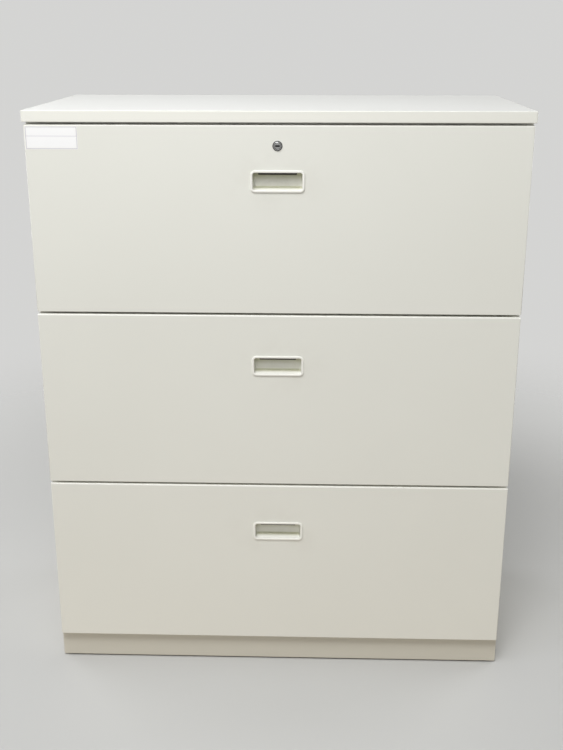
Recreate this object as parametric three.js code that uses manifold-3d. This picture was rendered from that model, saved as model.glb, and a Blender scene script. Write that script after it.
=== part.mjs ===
// Lateral filing cabinet: a steel carcass on a plinth with levelling feet, a laminated worktop, and three
// full-width drawers on telescopic runners. Each drawer has a moulded pull with a finger latch. The lock in
// the top drawer works a bar that holds all the drawers shut.
// Millimetres, +Z up, front towards -Y, origin on the floor under the middle of the worktop.
import * as THREE from "three";
import { mergeVertices } from "three/addons/utils/BufferGeometryUtils.js";
import Module from "manifold-3d";

const wasm = await Module();
wasm.setup();

// Overall sizes
const DRAWER_COUNT = 3;
const WORKTOP_WIDTH = 900;
const WORKTOP_DEPTH = 450;
const WORKTOP_THICKNESS = 20;
const WORKTOP_CORNER = 2;
const EDGE_BAND = 2;
const GLUE_LINE = 0.1;
const FRONT_HEIGHT = 340;
const FRONT_THICKNESS = 20;
const FRONT_GAP = 4;
const FRONT_SETBACK = 2.5;
const FRONT_SIDE_INSET = 2.5;
const FRONT_EDGE_RADIUS = 1.6;
const PLINTH_HEIGHT = 54;
const PLINTH_SETBACK = 15;
const PLINTH_SIDE_INSET = 1.5;
const PLINTH_BACK_INSET = 12;
const FLOOR_GAP = 3;

// Sheet metal and clearances
const SHEET = 1;
const FRAME_SHEET = 1.2;
const BEND = 2;
const BAR = 2;
const FIT = 0.3;
const RUNNING = 0.4;

// Carcass
const BODY_SIDE_INSET = 1;
const BODY_BACK_INSET = 1;
const FRONT_CLEARANCE = 2;
const FRONT_RISE = 3;
const REAR_RETURN = 20;
const DECK_HEIGHT = 14;
const TOP_FLANGE = 9;
const SWAGE_DEPTH = 4;
const SWAGE_WIDTH = 40;
const SWAGE_SPACING = 300;
const UPRIGHT_SETBACK = 9.5;
const UPRIGHT_WIDTH = 25;
const UPRIGHT_DEPTH = 30;
const UPRIGHT_REAR_GAP = 18;
const SLOT_PITCH = 50;
const SLOT_HEIGHT = 14;
const SLOT_WIDTH = 4;
const RAIL_DEPTH = 25;
const RAIL_LIP = 12;
const RAIL_BELOW_LOCK = 2;
const STRIKE_DROP = 18;

// Plinth frame and levelling feet
const PLINTH_FLANGE = 32;
const PLINTH_HEM = 12;
const BRACKET_HEIGHT = 20;
const BRACKET_THICKNESS = 2.5;
const BRACKET_REACH = 56;
const BRACKET_LENGTH = 60;
const FOOT_INSET = 31;
const FOOT_FROM_END = 35;
const FOOT_RADIUS = 17;
const FOOT_PAD = 7;
const FOOT_NECK = 5;
const STEM_RADIUS = 4.7;
const STEM_TOP = 46;
const NUT_RADIUS = 9.8;

// Runners
const RUNNER_HEIGHT = 46;
const RUNNER_THICKNESS = 12.4;
const RUNNER_WALL = 1.2;
const RUNNER_BEND = 2.4;
const RUNNER_ABOVE_EDGE = 62;
const RUNNER_FRONT_GAP = 1;
const RUNNER_REAR_GAP = 14;
const RUNNER_FLANGE_GAP = 0.7;
const RUNNER_WEB_GAP = 1;

// Drawer trays
const TRAY_ABOVE_EDGE = 24;
const TRAY_HEIGHT = 262;
const TRAY_FLANGE = 12;
const TRAY_REAR_GAP = 16;
const LUG_ABOVE_EDGE = 110;
const LUG_HEIGHT = 8;
const LUG_LENGTH = 10;
const LINER_FLANGE = 8;
const WELD_TUCK = 0.8;

// Pull
const PULL_DROP = 98;
const PULL_WIDTH = 97;
const PULL_HEIGHT = 40;
const PULL_CORNER = 6.5;
const PULL_BEZEL = 2;
const PULL_BEVEL = 0.9;
const MOUTH_WIDTH = 88;
const MOUTH_HEIGHT = 30.4;
const MOUTH_CORNER = 4;
const CUP_WALL = 1.5;
const CUP_DEPTH = 17;
const SCOOP_RADIUS = 5;
const LIP_DEPTH = 2.8;
const POCKET_RISE = 8;

// Finger latch
const PAD_WIDTH = 69;
const PAD_DEPTH = 7.5;
const PAD_SHOWS = 3.4;
const PAD_RISE = 8;
const LATCH_LIFT = 6;
const ROD_WIDTH = 10;
const HOOK_CLEARANCE = 1;
const HOOK_ARM = 4;
const HOOK_TIP = 3;
const HOOK_GAP = 0.5;

// Lock
const LOCK_DROP = 36;
const LOCK_FACE_RADIUS = 9.5;
const LOCK_FACE_RISE = 2.1;
const LOCK_FACE_BEVEL = 1;
const BARREL_RADIUS = 7.8;
const BARREL_LENGTH = 16;
const PLUG_RADIUS = 5.7;
const PLUG_RECESS = 0.6;
const KEYWAY_WIDTH = 7.4;
const KEYWAY_HEIGHT = 1.7;
const KEYWAY_DEPTH = 8;
const TAIL_SIDE = 6;
const CAM_THICKNESS = 2;
const CAM_BOSS = 7;
const CRANK = 9;
const CRANK_PIN_RADIUS = 2;
const CRANK_PLAY = 0.6;
const QUARTER_TURN = Math.PI / 2;

// Locking bars
const BAR_LIFT = 10;
const LOCK_BAR_WIDTH = 10;
const LOCK_BAR_INSET = 1.3;
const FINGER_HEIGHT = 10;
const FINGER_GAP = 1.5;
const DRIVE_PIN_RADIUS = 2.5;
const SLIDER_HEIGHT = 12.7;
const SLIDER_LEFT_END = 22;
const SLIDER_MARGIN = 4.2;

// Facets
const ROUND_SEGMENTS = 14;
const ARC_SEGMENTS = 6;
const BEND_SEGMENTS = 3;
const THROUGH = 50;

// Planes that the pieces share
const FACE_Y = -WORKTOP_DEPTH / 2 + FRONT_SETBACK;
const CARCASS_FRONT = FACE_Y + FRONT_THICKNESS + FRONT_CLEARANCE;
const CARCASS_BACK = WORKTOP_DEPTH / 2 - BODY_BACK_INSET;
const CARCASS_HALF = WORKTOP_WIDTH / 2 - BODY_SIDE_INSET;
const INSIDE_HALF = CARCASS_HALF - SHEET - FIT;
const INSIDE_FRONT = CARCASS_FRONT + SHEET + FIT;
const BACK_PANEL_FRONT = CARCASS_BACK - 2 * SHEET - FIT;
const PLINTH_TOP = FLOOR_GAP + PLINTH_HEIGHT;
const CARCASS_BOTTOM = PLINTH_TOP + FIT;
const FRONTS_BOTTOM = PLINTH_TOP + FRONT_RISE;
const DRAWER_PITCH = FRONT_HEIGHT + FRONT_GAP;
const WORKTOP_UNDERSIDE = FRONTS_BOTTOM + DRAWER_COUNT * DRAWER_PITCH;
const CARCASS_TOP = WORKTOP_UNDERSIDE - FIT;
const DECK_TOP = CARCASS_BOTTOM + DECK_HEIGHT;
const UPRIGHT_FRONT = CARCASS_FRONT + UPRIGHT_SETBACK;
const UPRIGHT_FACE = INSIDE_HALF - UPRIGHT_WIDTH;
const RUNNER_FRONT = UPRIGHT_FRONT + RUNNER_FRONT_GAP;
const RUNNER_BACK = CARCASS_BACK - RUNNER_REAR_GAP;
const RUNNER_OUTER_FACE = UPRIGHT_FACE - FIT;
const TRAY_HALF = RUNNER_OUTER_FACE - RUNNER_THICKNESS - FIT;
const LOCK_BAR_BACK = UPRIGHT_FRONT - FIT;
const SLIDER_BACK = LOCK_BAR_BACK - BAR - FIT;
const LOCK_BAR_LEFT = UPRIGHT_FACE + LOCK_BAR_INSET;
const SLIDER_TRAVEL = 2 * CRANK * Math.sin(QUARTER_TURN / 2);

// Heights in a drawer, from the bottom edge of its front
const LOCK_HEIGHT = FRONT_HEIGHT - LOCK_DROP;
const RAIL_HEIGHT = LOCK_HEIGHT - RAIL_BELOW_LOCK;
const STRIKE_HEIGHT = FRONT_HEIGHT - STRIKE_DROP;
const PULL_MIDDLE = FRONT_HEIGHT - PULL_DROP;
const HOOK_UNDERSIDE = STRIKE_HEIGHT + HOOK_CLEARANCE;
const POCKET_CEILING = MOUTH_HEIGHT / 2 + POCKET_RISE;
const SLIDER_UNDERSIDE = RAIL_HEIGHT + FRAME_SHEET + FIT;

// Depths in a drawer, from the face of its front
const LINER_BACK = FRONT_THICKNESS;
const LINER_FRONT = LINER_BACK - SHEET;
const RAIL_WEB = INSIDE_FRONT - FACE_Y;
const PAD_FRONT = LIP_DEPTH + RUNNING;
const PAD_BACK = PAD_FRONT + PAD_DEPTH;
const CAM_FRONT = LINER_BACK + RUNNING;

const paint = new THREE.MeshStandardMaterial({ color: 0xe6e4dc, roughness: 0.42, metalness: 0 });
const laminate = new THREE.MeshStandardMaterial({ color: 0xf2f1ec, roughness: 0.35, metalness: 0 });
const bandPlastic = new THREE.MeshStandardMaterial({ color: 0xe9e7dd, roughness: 0.4, metalness: 0 });
const pullPlastic = new THREE.MeshStandardMaterial({ color: 0xe2e0d4, roughness: 0.45, metalness: 0 });
const latchPlastic = new THREE.MeshStandardMaterial({ color: 0x3a3631, roughness: 0.55, metalness: 0 });
const zincSteel = new THREE.MeshStandardMaterial({ color: 0xb4b7ba, roughness: 0.38, metalness: 1 });
const lockMetal = new THREE.MeshStandardMaterial({ color: 0xa9aaab, roughness: 0.24, metalness: 1 });
const footPlastic = new THREE.MeshStandardMaterial({ color: 0x26272a, roughness: 0.6, metalness: 0 });

// Solids from three.js geometry, and back

function solidFrom(geometry) {
  const bare = geometry.index ? geometry.toNonIndexed() : geometry.clone();
  bare.deleteAttribute("normal");
  bare.deleteAttribute("uv");
  const merged = mergeVertices(bare, 1e-4);
  const corners = merged.index.array;
  const kept = [];
  for (let i = 0; i < corners.length; i += 3) {
    const [a, b, c] = corners.subarray(i, i + 3);
    if (a !== b && b !== c && c !== a) kept.push(a, b, c);
  }
  return new wasm.Manifold(
    new wasm.Mesh({
      numProp: 3,
      vertProperties: merged.attributes.position.array,
      triVerts: new Uint32Array(kept),
    }),
  );
}

function geometryFrom(solid) {
  const mesh = solid.getMesh();
  const geometry = new THREE.BufferGeometry();
  geometry.setAttribute("position", new THREE.BufferAttribute(mesh.vertProperties, 3));
  geometry.setIndex(new THREE.BufferAttribute(mesh.triVerts, 1));
  geometry.computeVertexNormals();
  return geometry;
}

function piece(name, material, solid) {
  const mesh = new THREE.Mesh(geometryFrom(solid), material);
  mesh.name = name;
  return mesh;
}

const joined = (solids) => solids.reduce((all, next) => all.add(next));

// A block between two corners.
function block([x0, y0, z0], [x1, y1, z1]) {
  const geometry = new THREE.BoxGeometry(x1 - x0, y1 - y0, z1 - z0);
  geometry.translate((x0 + x1) / 2, (y0 + y1) / 2, (z0 + z1) / 2);
  return solidFrom(geometry);
}

const X = new THREE.Vector3(1, 0, 0);
const Y = new THREE.Vector3(0, 1, 0);
const Z = new THREE.Vector3(0, 0, 1);
const PROFILE_PLANES = {
  x: new THREE.Matrix4().makeBasis(Y, Z, X),
  y: new THREE.Matrix4().makeBasis(X, Z, Y.clone().negate()),
  z: new THREE.Matrix4().makeBasis(X, Y, Z),
};

// A profile carried along one axis. Its two coordinates are the other two axes, in X, Y, Z order.
function prism(shape, axis, from, to, bevel = {}) {
  const geometry = new THREE.ExtrudeGeometry(shape, {
    depth: to - from,
    bevelEnabled: false,
    curveSegments: ARC_SEGMENTS,
    ...bevel,
  });
  geometry.applyMatrix4(PROFILE_PLANES[axis]);
  const start = { x: [from, 0, 0], y: [0, to, 0], z: [0, 0, from] }[axis];
  geometry.translate(...start);
  return solidFrom(geometry);
}

function rectangle(u0, v0, u1, v1, radius = 0) {
  const shape = new THREE.Shape();
  if (radius === 0) {
    return shape.moveTo(u0, v0).lineTo(u1, v0).lineTo(u1, v1).lineTo(u0, v1);
  }
  shape.absarc(u1 - radius, v1 - radius, radius, 0, QUARTER_TURN);
  shape.absarc(u0 + radius, v1 - radius, radius, QUARTER_TURN, 2 * QUARTER_TURN);
  shape.absarc(u0 + radius, v0 + radius, radius, 2 * QUARTER_TURN, 3 * QUARTER_TURN);
  shape.absarc(u1 - radius, v0 + radius, radius, 3 * QUARTER_TURN, 4 * QUARTER_TURN);
  return shape;
}

// A round bar along Y.
function roundBar(x, z, radius, from, to) {
  const shape = new THREE.Shape().absarc(x, z, radius, 0, 4 * QUARTER_TURN);
  return prism(shape, "y", from, to, { curveSegments: ROUND_SEGMENTS });
}

// The outline of a folded sheet. The path is one face of the sheet, the wall lies on the path's left, and
// each corner of the path is a bend.
function foldedSheet(path, wall, bend = BEND) {
  const points = path.map(([u, v]) => new THREE.Vector2(u, v));
  const face = [points[0]];
  for (let i = 1; i < points.length - 1; i++) {
    const back = points[i - 1].clone().sub(points[i]).normalize();
    const on = points[i + 1].clone().sub(points[i]).normalize();
    const reach = bend / Math.tan(back.angleTo(on) / 2);
    const from = points[i].clone().addScaledVector(back, reach);
    const to = points[i].clone().addScaledVector(on, reach);
    face.push(...new THREE.QuadraticBezierCurve(from, points[i], to).getPoints(BEND_SEGMENTS));
  }
  face.push(points.at(-1));
  const inner = face.map((point, i) => {
    const before = point.clone().sub(face[Math.max(i - 1, 0)]);
    const after = face[Math.min(i + 1, face.length - 1)].clone().sub(point);
    const normals = [before, after]
      .filter((step) => step.length() > 0)
      .map((step) => new THREE.Vector2(-step.y, step.x).normalize());
    const middle = normals.reduce((sum, n) => sum.add(n), new THREE.Vector2()).normalize();
    return point.clone().addScaledVector(middle, wall / middle.dot(normals[0]));
  });
  return new THREE.Shape([...face, ...inner.reverse()]);
}

// Mirrors a path that is drawn for the right-hand side, and keeps its wall on the same side of the sheet.
function onSide(side, path) {
  const mirrored = path.map(([u, v]) => [side * u, v]);
  return side > 0 ? mirrored : mirrored.reverse();
}

// A block that is drawn for the right-hand side.
function sideBlock(side, [x0, y0, z0], [x1, y1, z1]) {
  const [left, right] = side > 0 ? [x0, x1] : [-x1, -x0];
  return block([left, y0, z0], [right, y1, z1]);
}

const SIDES = [
  ["left", -1],
  ["right", 1],
];

// Worktop: a laminated board with a band glued round its edge

function worktop() {
  const half = WORKTOP_WIDTH / 2;
  const depth = WORKTOP_DEPTH / 2;
  const top = WORKTOP_UNDERSIDE + WORKTOP_THICKNESS;
  const outline = rectangle(-half, -depth, half, depth, WORKTOP_CORNER);
  const [wide, deep] = [half - EDGE_BAND, depth - EDGE_BAND];
  const inside = block([-wide, -deep, WORKTOP_UNDERSIDE - THROUGH], [wide, deep, top + THROUGH]);
  const band = prism(outline, "z", WORKTOP_UNDERSIDE, top).subtract(inside);
  const low = [GLUE_LINE - wide, GLUE_LINE - deep, WORKTOP_UNDERSIDE];
  const board = block(low, [wide - GLUE_LINE, deep - GLUE_LINE, top]);
  const group = new THREE.Group();
  group.add(piece("worktop_board", laminate, board));
  group.add(piece("worktop_edge_band", bandPlastic, band));
  return group;
}

// Carcass

function sidePanel(name, side) {
  const path = onSide(side, [
    [UPRIGHT_FACE, CARCASS_FRONT],
    [CARCASS_HALF, CARCASS_FRONT],
    [CARCASS_HALF, CARCASS_BACK],
    [CARCASS_HALF - REAR_RETURN, CARCASS_BACK],
  ]);
  return piece(name, paint, prism(foldedSheet(path, SHEET), "z", CARCASS_BOTTOM, CARCASS_TOP));
}

function topPanel() {
  const rear = BACK_PANEL_FRONT - SWAGE_DEPTH - FIT;
  const path = [
    [rear, CARCASS_TOP - TOP_FLANGE],
    [rear, CARCASS_TOP],
    [INSIDE_FRONT, CARCASS_TOP],
    [INSIDE_FRONT, CARCASS_TOP - TOP_FLANGE],
  ];
  return piece("top_panel", paint, prism(foldedSheet(path, SHEET), "x", -INSIDE_HALF, INSIDE_HALF));
}

function bottomPanel() {
  const rear = BACK_PANEL_FRONT - SWAGE_DEPTH - FIT;
  const path = [
    [rear, CARCASS_BOTTOM],
    [rear, DECK_TOP],
    [INSIDE_FRONT, DECK_TOP],
    [INSIDE_FRONT, CARCASS_BOTTOM],
  ];
  return piece("bottom_panel", paint, prism(foldedSheet(path, SHEET), "x", -INSIDE_HALF, INSIDE_HALF));
}

// The back panel is stiffened by upright swages pressed towards the inside.
function backPanel() {
  const face = BACK_PANEL_FRONT;
  const path = [[-INSIDE_HALF, face]];
  const crest = SWAGE_WIDTH / 2;
  const foot = crest + SWAGE_DEPTH;
  for (const middle of [-SWAGE_SPACING / 2, SWAGE_SPACING / 2]) {
    path.push([middle - foot, face], [middle - crest, face - SWAGE_DEPTH]);
    path.push([middle + crest, face - SWAGE_DEPTH], [middle + foot, face]);
  }
  path.push([INSIDE_HALF, face]);
  return piece("back_panel", paint, prism(foldedSheet(path, SHEET), "z", CARCASS_BOTTOM, CARCASS_TOP));
}

// An upright is a channel against the side panel, with slots up its face that the runners hook into.
function upright(name, side, front) {
  const bottom = DECK_TOP + FIT;
  const top = CARCASS_TOP - SHEET - FIT;
  const path = onSide(side, [
    [INSIDE_HALF, front + UPRIGHT_DEPTH],
    [UPRIGHT_FACE, front + UPRIGHT_DEPTH],
    [UPRIGHT_FACE, front],
    [INSIDE_HALF, front],
  ]);
  const middle = front + UPRIGHT_DEPTH / 2;
  const slots = [];
  for (let z = bottom + SLOT_PITCH; z < top - SLOT_PITCH / 2; z += SLOT_PITCH) {
    const low = [UPRIGHT_FACE - SHEET, middle - SLOT_WIDTH / 2, z - SLOT_HEIGHT / 2];
    const high = [UPRIGHT_FACE + 2 * FRAME_SHEET, middle + SLOT_WIDTH / 2, z + SLOT_HEIGHT / 2];
    slots.push(sideBlock(side, low, high));
  }
  const channel = prism(foldedSheet(path, FRAME_SHEET), "z", bottom, top);
  return piece(name, paint, channel.subtract(joined(slots)));
}

// A cross rail is a trough over each drawer. Its front edge is the strike for that drawer's latch, and the
// top rail has a slot for the pin of the lock's cam.
function crossRail(number) {
  const half = UPRIGHT_FACE - FIT;
  const path = [
    [RAIL_WEB, STRIKE_HEIGHT],
    [RAIL_WEB, RAIL_HEIGHT],
    [RAIL_WEB + RAIL_DEPTH, RAIL_HEIGHT],
    [RAIL_WEB + RAIL_DEPTH, RAIL_HEIGHT + RAIL_LIP],
  ];
  let rail = prism(foldedSheet(path, FRAME_SHEET), "x", -half, half);
  if (number === 1) {
    const reach = SLIDER_TRAVEL / 2 + CRANK_PIN_RADIUS + CRANK_PLAY;
    const low = LOCK_HEIGHT + CRANK * Math.cos(QUARTER_TURN / 2) - CRANK_PIN_RADIUS - CRANK_PLAY;
    const high = LOCK_HEIGHT + CRANK + CRANK_PIN_RADIUS + CRANK_PLAY;
    const slot = rectangle(-reach, low, reach, high, CRANK_PIN_RADIUS);
    rail = rail.subtract(prism(slot, "y", RAIL_WEB - SHEET, RAIL_WEB + 2 * FRAME_SHEET));
  }
  return piece(`cross_rail_${number}`, paint, rail);
}

// Plinth: four folded rails, with brackets for the levelling feet on the side rails

const PLINTH_HALF = WORKTOP_WIDTH / 2 - PLINTH_SIDE_INSET;
const PLINTH_FRONT = -WORKTOP_DEPTH / 2 + PLINTH_SETBACK;
const PLINTH_BACK = WORKTOP_DEPTH / 2 - PLINTH_BACK_INSET;
const PLINTH_SIDE_START = PLINTH_FRONT + FRAME_SHEET + FIT;
const PLINTH_SIDE_END = PLINTH_BACK - FRAME_SHEET - FIT;
const FOOT_X = PLINTH_HALF - FOOT_INSET;
const FOOT_YS = [
  ["front", PLINTH_SIDE_START + FOOT_FROM_END],
  ["rear", PLINTH_SIDE_END - FOOT_FROM_END],
];

// The end rails have their flanges notched at the corners, where the side rails run through.
function plinthEndRail(name, face, inward) {
  const line = [
    [face + inward * PLINTH_HEM, FLOOR_GAP],
    [face, FLOOR_GAP],
    [face, PLINTH_TOP],
    [face + inward * PLINTH_FLANGE, PLINTH_TOP],
  ];
  const path = inward > 0 ? line.reverse() : line;
  const rail = prism(foldedSheet(path, FRAME_SHEET), "x", -PLINTH_HALF, PLINTH_HALF);
  const [near, far] = [face + inward * FRAME_SHEET, face + inward * (PLINTH_FLANGE + SHEET)];
  const notches = SIDES.map(([, side]) => {
    const low = [PLINTH_HALF - PLINTH_FLANGE - FIT, Math.min(near, far), FLOOR_GAP - SHEET];
    const high = [PLINTH_HALF + SHEET, Math.max(near, far), PLINTH_TOP + SHEET];
    return sideBlock(side, low, high);
  });
  return piece(name, paint, rail.subtract(joined(notches)));
}

function plinthSideRail(name, side) {
  const path = onSide(side, [
    [PLINTH_HALF - PLINTH_HEM, FLOOR_GAP],
    [PLINTH_HALF, FLOOR_GAP],
    [PLINTH_HALF, PLINTH_TOP],
    [PLINTH_HALF - PLINTH_FLANGE, PLINTH_TOP],
  ]);
  let rail = prism(foldedSheet(path, FRAME_SHEET), "y", PLINTH_SIDE_START, PLINTH_SIDE_END);
  for (const [, y] of FOOT_YS) {
    const low = [PLINTH_HALF - BRACKET_REACH, y - BRACKET_LENGTH / 2, BRACKET_HEIGHT];
    const high = [PLINTH_HALF - FRAME_SHEET / 2, y + BRACKET_LENGTH / 2, BRACKET_HEIGHT + BRACKET_THICKNESS];
    const hole = new THREE.Shape().absarc(side * FOOT_X, y, STEM_RADIUS + FIT, 0, 4 * QUARTER_TURN);
    const bore = prism(hole, "z", 0, PLINTH_TOP - THROUGH / 4);
    rail = rail.add(sideBlock(side, low, high).subtract(bore));
  }
  return piece(name, paint, rail);
}

// A levelling foot: a round pad on a screwed stem, with its lock nut under the bracket.
function levellingFoot(name, x, y) {
  const nutTop = BRACKET_HEIGHT - FIT;
  const outline = [
    [0, 0],
    [FOOT_RADIUS - 1, 0],
    [FOOT_RADIUS, 1],
    [FOOT_RADIUS, FOOT_PAD - 1],
    [FOOT_RADIUS - 2, FOOT_PAD],
    [STEM_RADIUS + 1, FOOT_PAD + FOOT_NECK / 2],
    [STEM_RADIUS, FOOT_PAD + FOOT_NECK],
    [STEM_RADIUS, STEM_TOP - 1],
    [STEM_RADIUS - 1, STEM_TOP],
    [0, STEM_TOP],
  ];
  const lathe = new THREE.LatheGeometry(
    outline.map(([r, h]) => new THREE.Vector2(r, h)),
    2 * ROUND_SEGMENTS,
  );
  lathe.rotateX(QUARTER_TURN);
  const nutLow = FOOT_PAD + FOOT_NECK;
  const nut = new THREE.CylinderGeometry(NUT_RADIUS, NUT_RADIUS, nutTop - nutLow, 6);
  nut.rotateX(QUARTER_TURN);
  nut.translate(0, 0, (nutTop + nutLow) / 2);
  const foot = piece(name, footPlastic, solidFrom(lathe).add(solidFrom(nut)));
  foot.position.set(x, y, 0);
  return foot;
}

// Runners: three nested channels on each side of a drawer

function runnerMember(side, webFace, flangeTip, reach, length) {
  const turn = webFace > flangeTip ? 1 : -1;
  const middle = RUNNER_ABOVE_EDGE;
  const line = [
    [flangeTip, middle + turn * reach],
    [webFace, middle + turn * reach],
    [webFace, middle - turn * reach],
    [flangeTip, middle - turn * reach],
  ];
  const shape = foldedSheet(onSide(side, line.reverse()), RUNNER_WALL, RUNNER_BEND);
  return prism(shape, "y", length[0], length[1]);
}

const RUNNER_SPAN = [RUNNER_FRONT, RUNNER_BACK];
const OUTER_REACH = RUNNER_HEIGHT / 2;
const MIDDLE_REACH = OUTER_REACH - RUNNER_WALL - RUNNING;
const INNER_REACH = MIDDLE_REACH - RUNNER_WALL - RUNNING;
const MIDDLE_WEB = RUNNER_OUTER_FACE - RUNNER_WALL - RUNNER_WEB_GAP;
const INNER_WEB = RUNNER_OUTER_FACE - RUNNER_THICKNESS;
const INNER_FLANGE_TIP = MIDDLE_WEB - RUNNER_WALL - RUNNER_WEB_GAP;
const MIDDLE_FLANGE_TIP = INNER_WEB + RUNNER_WALL + RUNNER_FLANGE_GAP;
const OUTER_FLANGE_TIP = MIDDLE_FLANGE_TIP + RUNNER_FLANGE_GAP;

function outerRunner(side) {
  return runnerMember(side, RUNNER_OUTER_FACE, OUTER_FLANGE_TIP, OUTER_REACH, RUNNER_SPAN);
}

function middleRunner(side) {
  return runnerMember(side, MIDDLE_WEB, MIDDLE_FLANGE_TIP, MIDDLE_REACH, RUNNER_SPAN);
}

function innerRunner(side) {
  return runnerMember(side, INNER_WEB, INNER_FLANGE_TIP, INNER_REACH, RUNNER_SPAN);
}

function runners(number) {
  const group = new THREE.Group();
  for (const [word, side] of SIDES) {
    group.add(piece(`outer_runner_${number}_${word}`, zincSteel, outerRunner(side)));
    group.add(piece(`middle_runner_${number}_${word}`, zincSteel, middleRunner(side)));
    group.add(piece(`inner_runner_${number}_${word}`, zincSteel, innerRunner(side)));
  }
  return group;
}

// Drawer pieces, drawn from the face and the bottom edge of the drawer's front

const FRONT_HALF = WORKTOP_WIDTH / 2 - FRONT_SIDE_INSET;
const PULL_OUTER_HALF = MOUTH_WIDTH / 2 + CUP_WALL;
const PULL_OUTER_RISE = MOUTH_HEIGHT / 2 + CUP_WALL;
const ROD_RIGHT = PAD_WIDTH / 2;
const ROD_LEFT = ROD_RIGHT - ROD_WIDTH;

// The front is a folded pan with rounded face edges, open at the back.
function frontPanel(number) {
  const r = FRONT_EDGE_RADIUS;
  const outline = rectangle(r - FRONT_HALF, r, FRONT_HALF - r, FRONT_HEIGHT - r);
  const rounding = { bevelEnabled: true, bevelThickness: r, bevelSize: r, bevelSegments: BEND_SEGMENTS };
  const outside = prism(outline, "y", r, FRONT_THICKNESS + r, rounding);
  const low = [SHEET - FRONT_HALF, SHEET, SHEET];
  const high = [FRONT_HALF - SHEET, FRONT_THICKNESS + THROUGH, FRONT_HEIGHT - SHEET];
  const rearLow = [-WORKTOP_WIDTH, FRONT_THICKNESS, -THROUGH];
  const behind = block(rearLow, [WORKTOP_WIDTH, FRONT_THICKNESS + THROUGH, FRONT_HEIGHT + THROUGH]);
  const reach = PULL_OUTER_HALF + FIT;
  const rise = PULL_OUTER_RISE + FIT;
  const window = block([-reach, -THROUGH, PULL_MIDDLE - rise], [reach, THROUGH, PULL_MIDDLE + rise]);
  let pan = outside.subtract(block(low, high)).subtract(behind).subtract(window);
  if (number === 1) pan = pan.subtract(roundBar(0, LOCK_HEIGHT, BARREL_RADIUS + FIT, -THROUGH, THROUGH));
  return piece(`drawer_front_${number}`, paint, pan);
}

// The liner closes the back of the front. The latch hook comes out through a window near its top.
function frontLiner(number) {
  const half = FRONT_HALF - SHEET - FIT;
  const low = SHEET + FIT;
  const high = FRONT_HEIGHT - SHEET - FIT;
  const sheet = block([-half, LINER_FRONT - LINER_FLANGE, low], [half, LINER_BACK, high]);
  const inside = block(
    [SHEET - half, LINER_FRONT - LINER_FLANGE - SHEET, low + SHEET],
    [half - SHEET, LINER_FRONT, high - SHEET],
  );
  const bottom = HOOK_UNDERSIDE - LATCH_LIFT - RUNNING;
  const top = HOOK_UNDERSIDE + HOOK_ARM + LATCH_LIFT + RUNNING;
  const window = block([ROD_LEFT - RUNNING, 0, bottom], [ROD_RIGHT + RUNNING, THROUGH, top]);
  let liner = sheet.subtract(inside).subtract(window);
  if (number === 1) liner = liner.subtract(roundBar(0, LOCK_HEIGHT, PLUG_RADIUS + RUNNING, 0, THROUGH));
  return piece(`front_liner_${number}`, paint, liner);
}

// The tray is folded from one sheet, with a welded back. A lug on its right side meets the locking bar.
function tray(number) {
  const front = LINER_BACK + FIT;
  const back = CARCASS_BACK - TRAY_REAR_GAP - FACE_Y;
  const low = TRAY_ABOVE_EDGE;
  const high = TRAY_ABOVE_EDGE + TRAY_HEIGHT;
  const path = [
    [TRAY_FLANGE - TRAY_HALF, high],
    [-TRAY_HALF, high],
    [-TRAY_HALF, low],
    [TRAY_HALF, low],
    [TRAY_HALF, high],
    [TRAY_HALF - TRAY_FLANGE, high],
  ];
  const trough = prism(foldedSheet(path, SHEET), "y", front, back);
  const half = TRAY_HALF - WELD_TUCK * SHEET;
  const [wallBack, wallTop] = [back - FIT, high - FIT];
  const wall = block([-half, wallBack - SHEET, low + WELD_TUCK * SHEET], [half, wallBack, wallTop]);
  const ledge = block([-half, wallBack - TRAY_FLANGE, wallTop - SHEET], [half, wallBack - FIT, wallTop]);
  const lugFront = LOCK_BAR_BACK + RUNNING - FACE_Y;
  const lug = block(
    [half, lugFront, LUG_ABOVE_EDGE],
    [UPRIGHT_FACE - HOOK_CLEARANCE, lugFront + LUG_LENGTH, LUG_ABOVE_EDGE + LUG_HEIGHT],
  );
  return piece(`drawer_tray_${number}`, paint, joined([trough, wall, ledge, lug]));
}

// The section of the pull's cup: a floor that sweeps up into the back wall, and a pocket that rises behind
// the lip. Grown by the wall, it is the outside of the cup.
function cupSection(front, grow) {
  const floor = -MOUTH_HEIGHT / 2 - grow;
  const back = CUP_DEPTH + grow;
  const ceiling = POCKET_CEILING + grow;
  const lip = LIP_DEPTH - grow;
  const shape = new THREE.Shape().moveTo(front, floor);
  shape.lineTo(CUP_DEPTH - SCOOP_RADIUS, floor);
  shape.absarc(CUP_DEPTH - SCOOP_RADIUS, floor + SCOOP_RADIUS + grow, SCOOP_RADIUS + grow, -QUARTER_TURN, 0);
  shape.lineTo(back, ceiling);
  shape.lineTo(lip, ceiling);
  shape.lineTo(lip, MOUTH_HEIGHT / 2 + grow);
  shape.lineTo(front, MOUTH_HEIGHT / 2 + grow);
  return shape;
}

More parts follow.
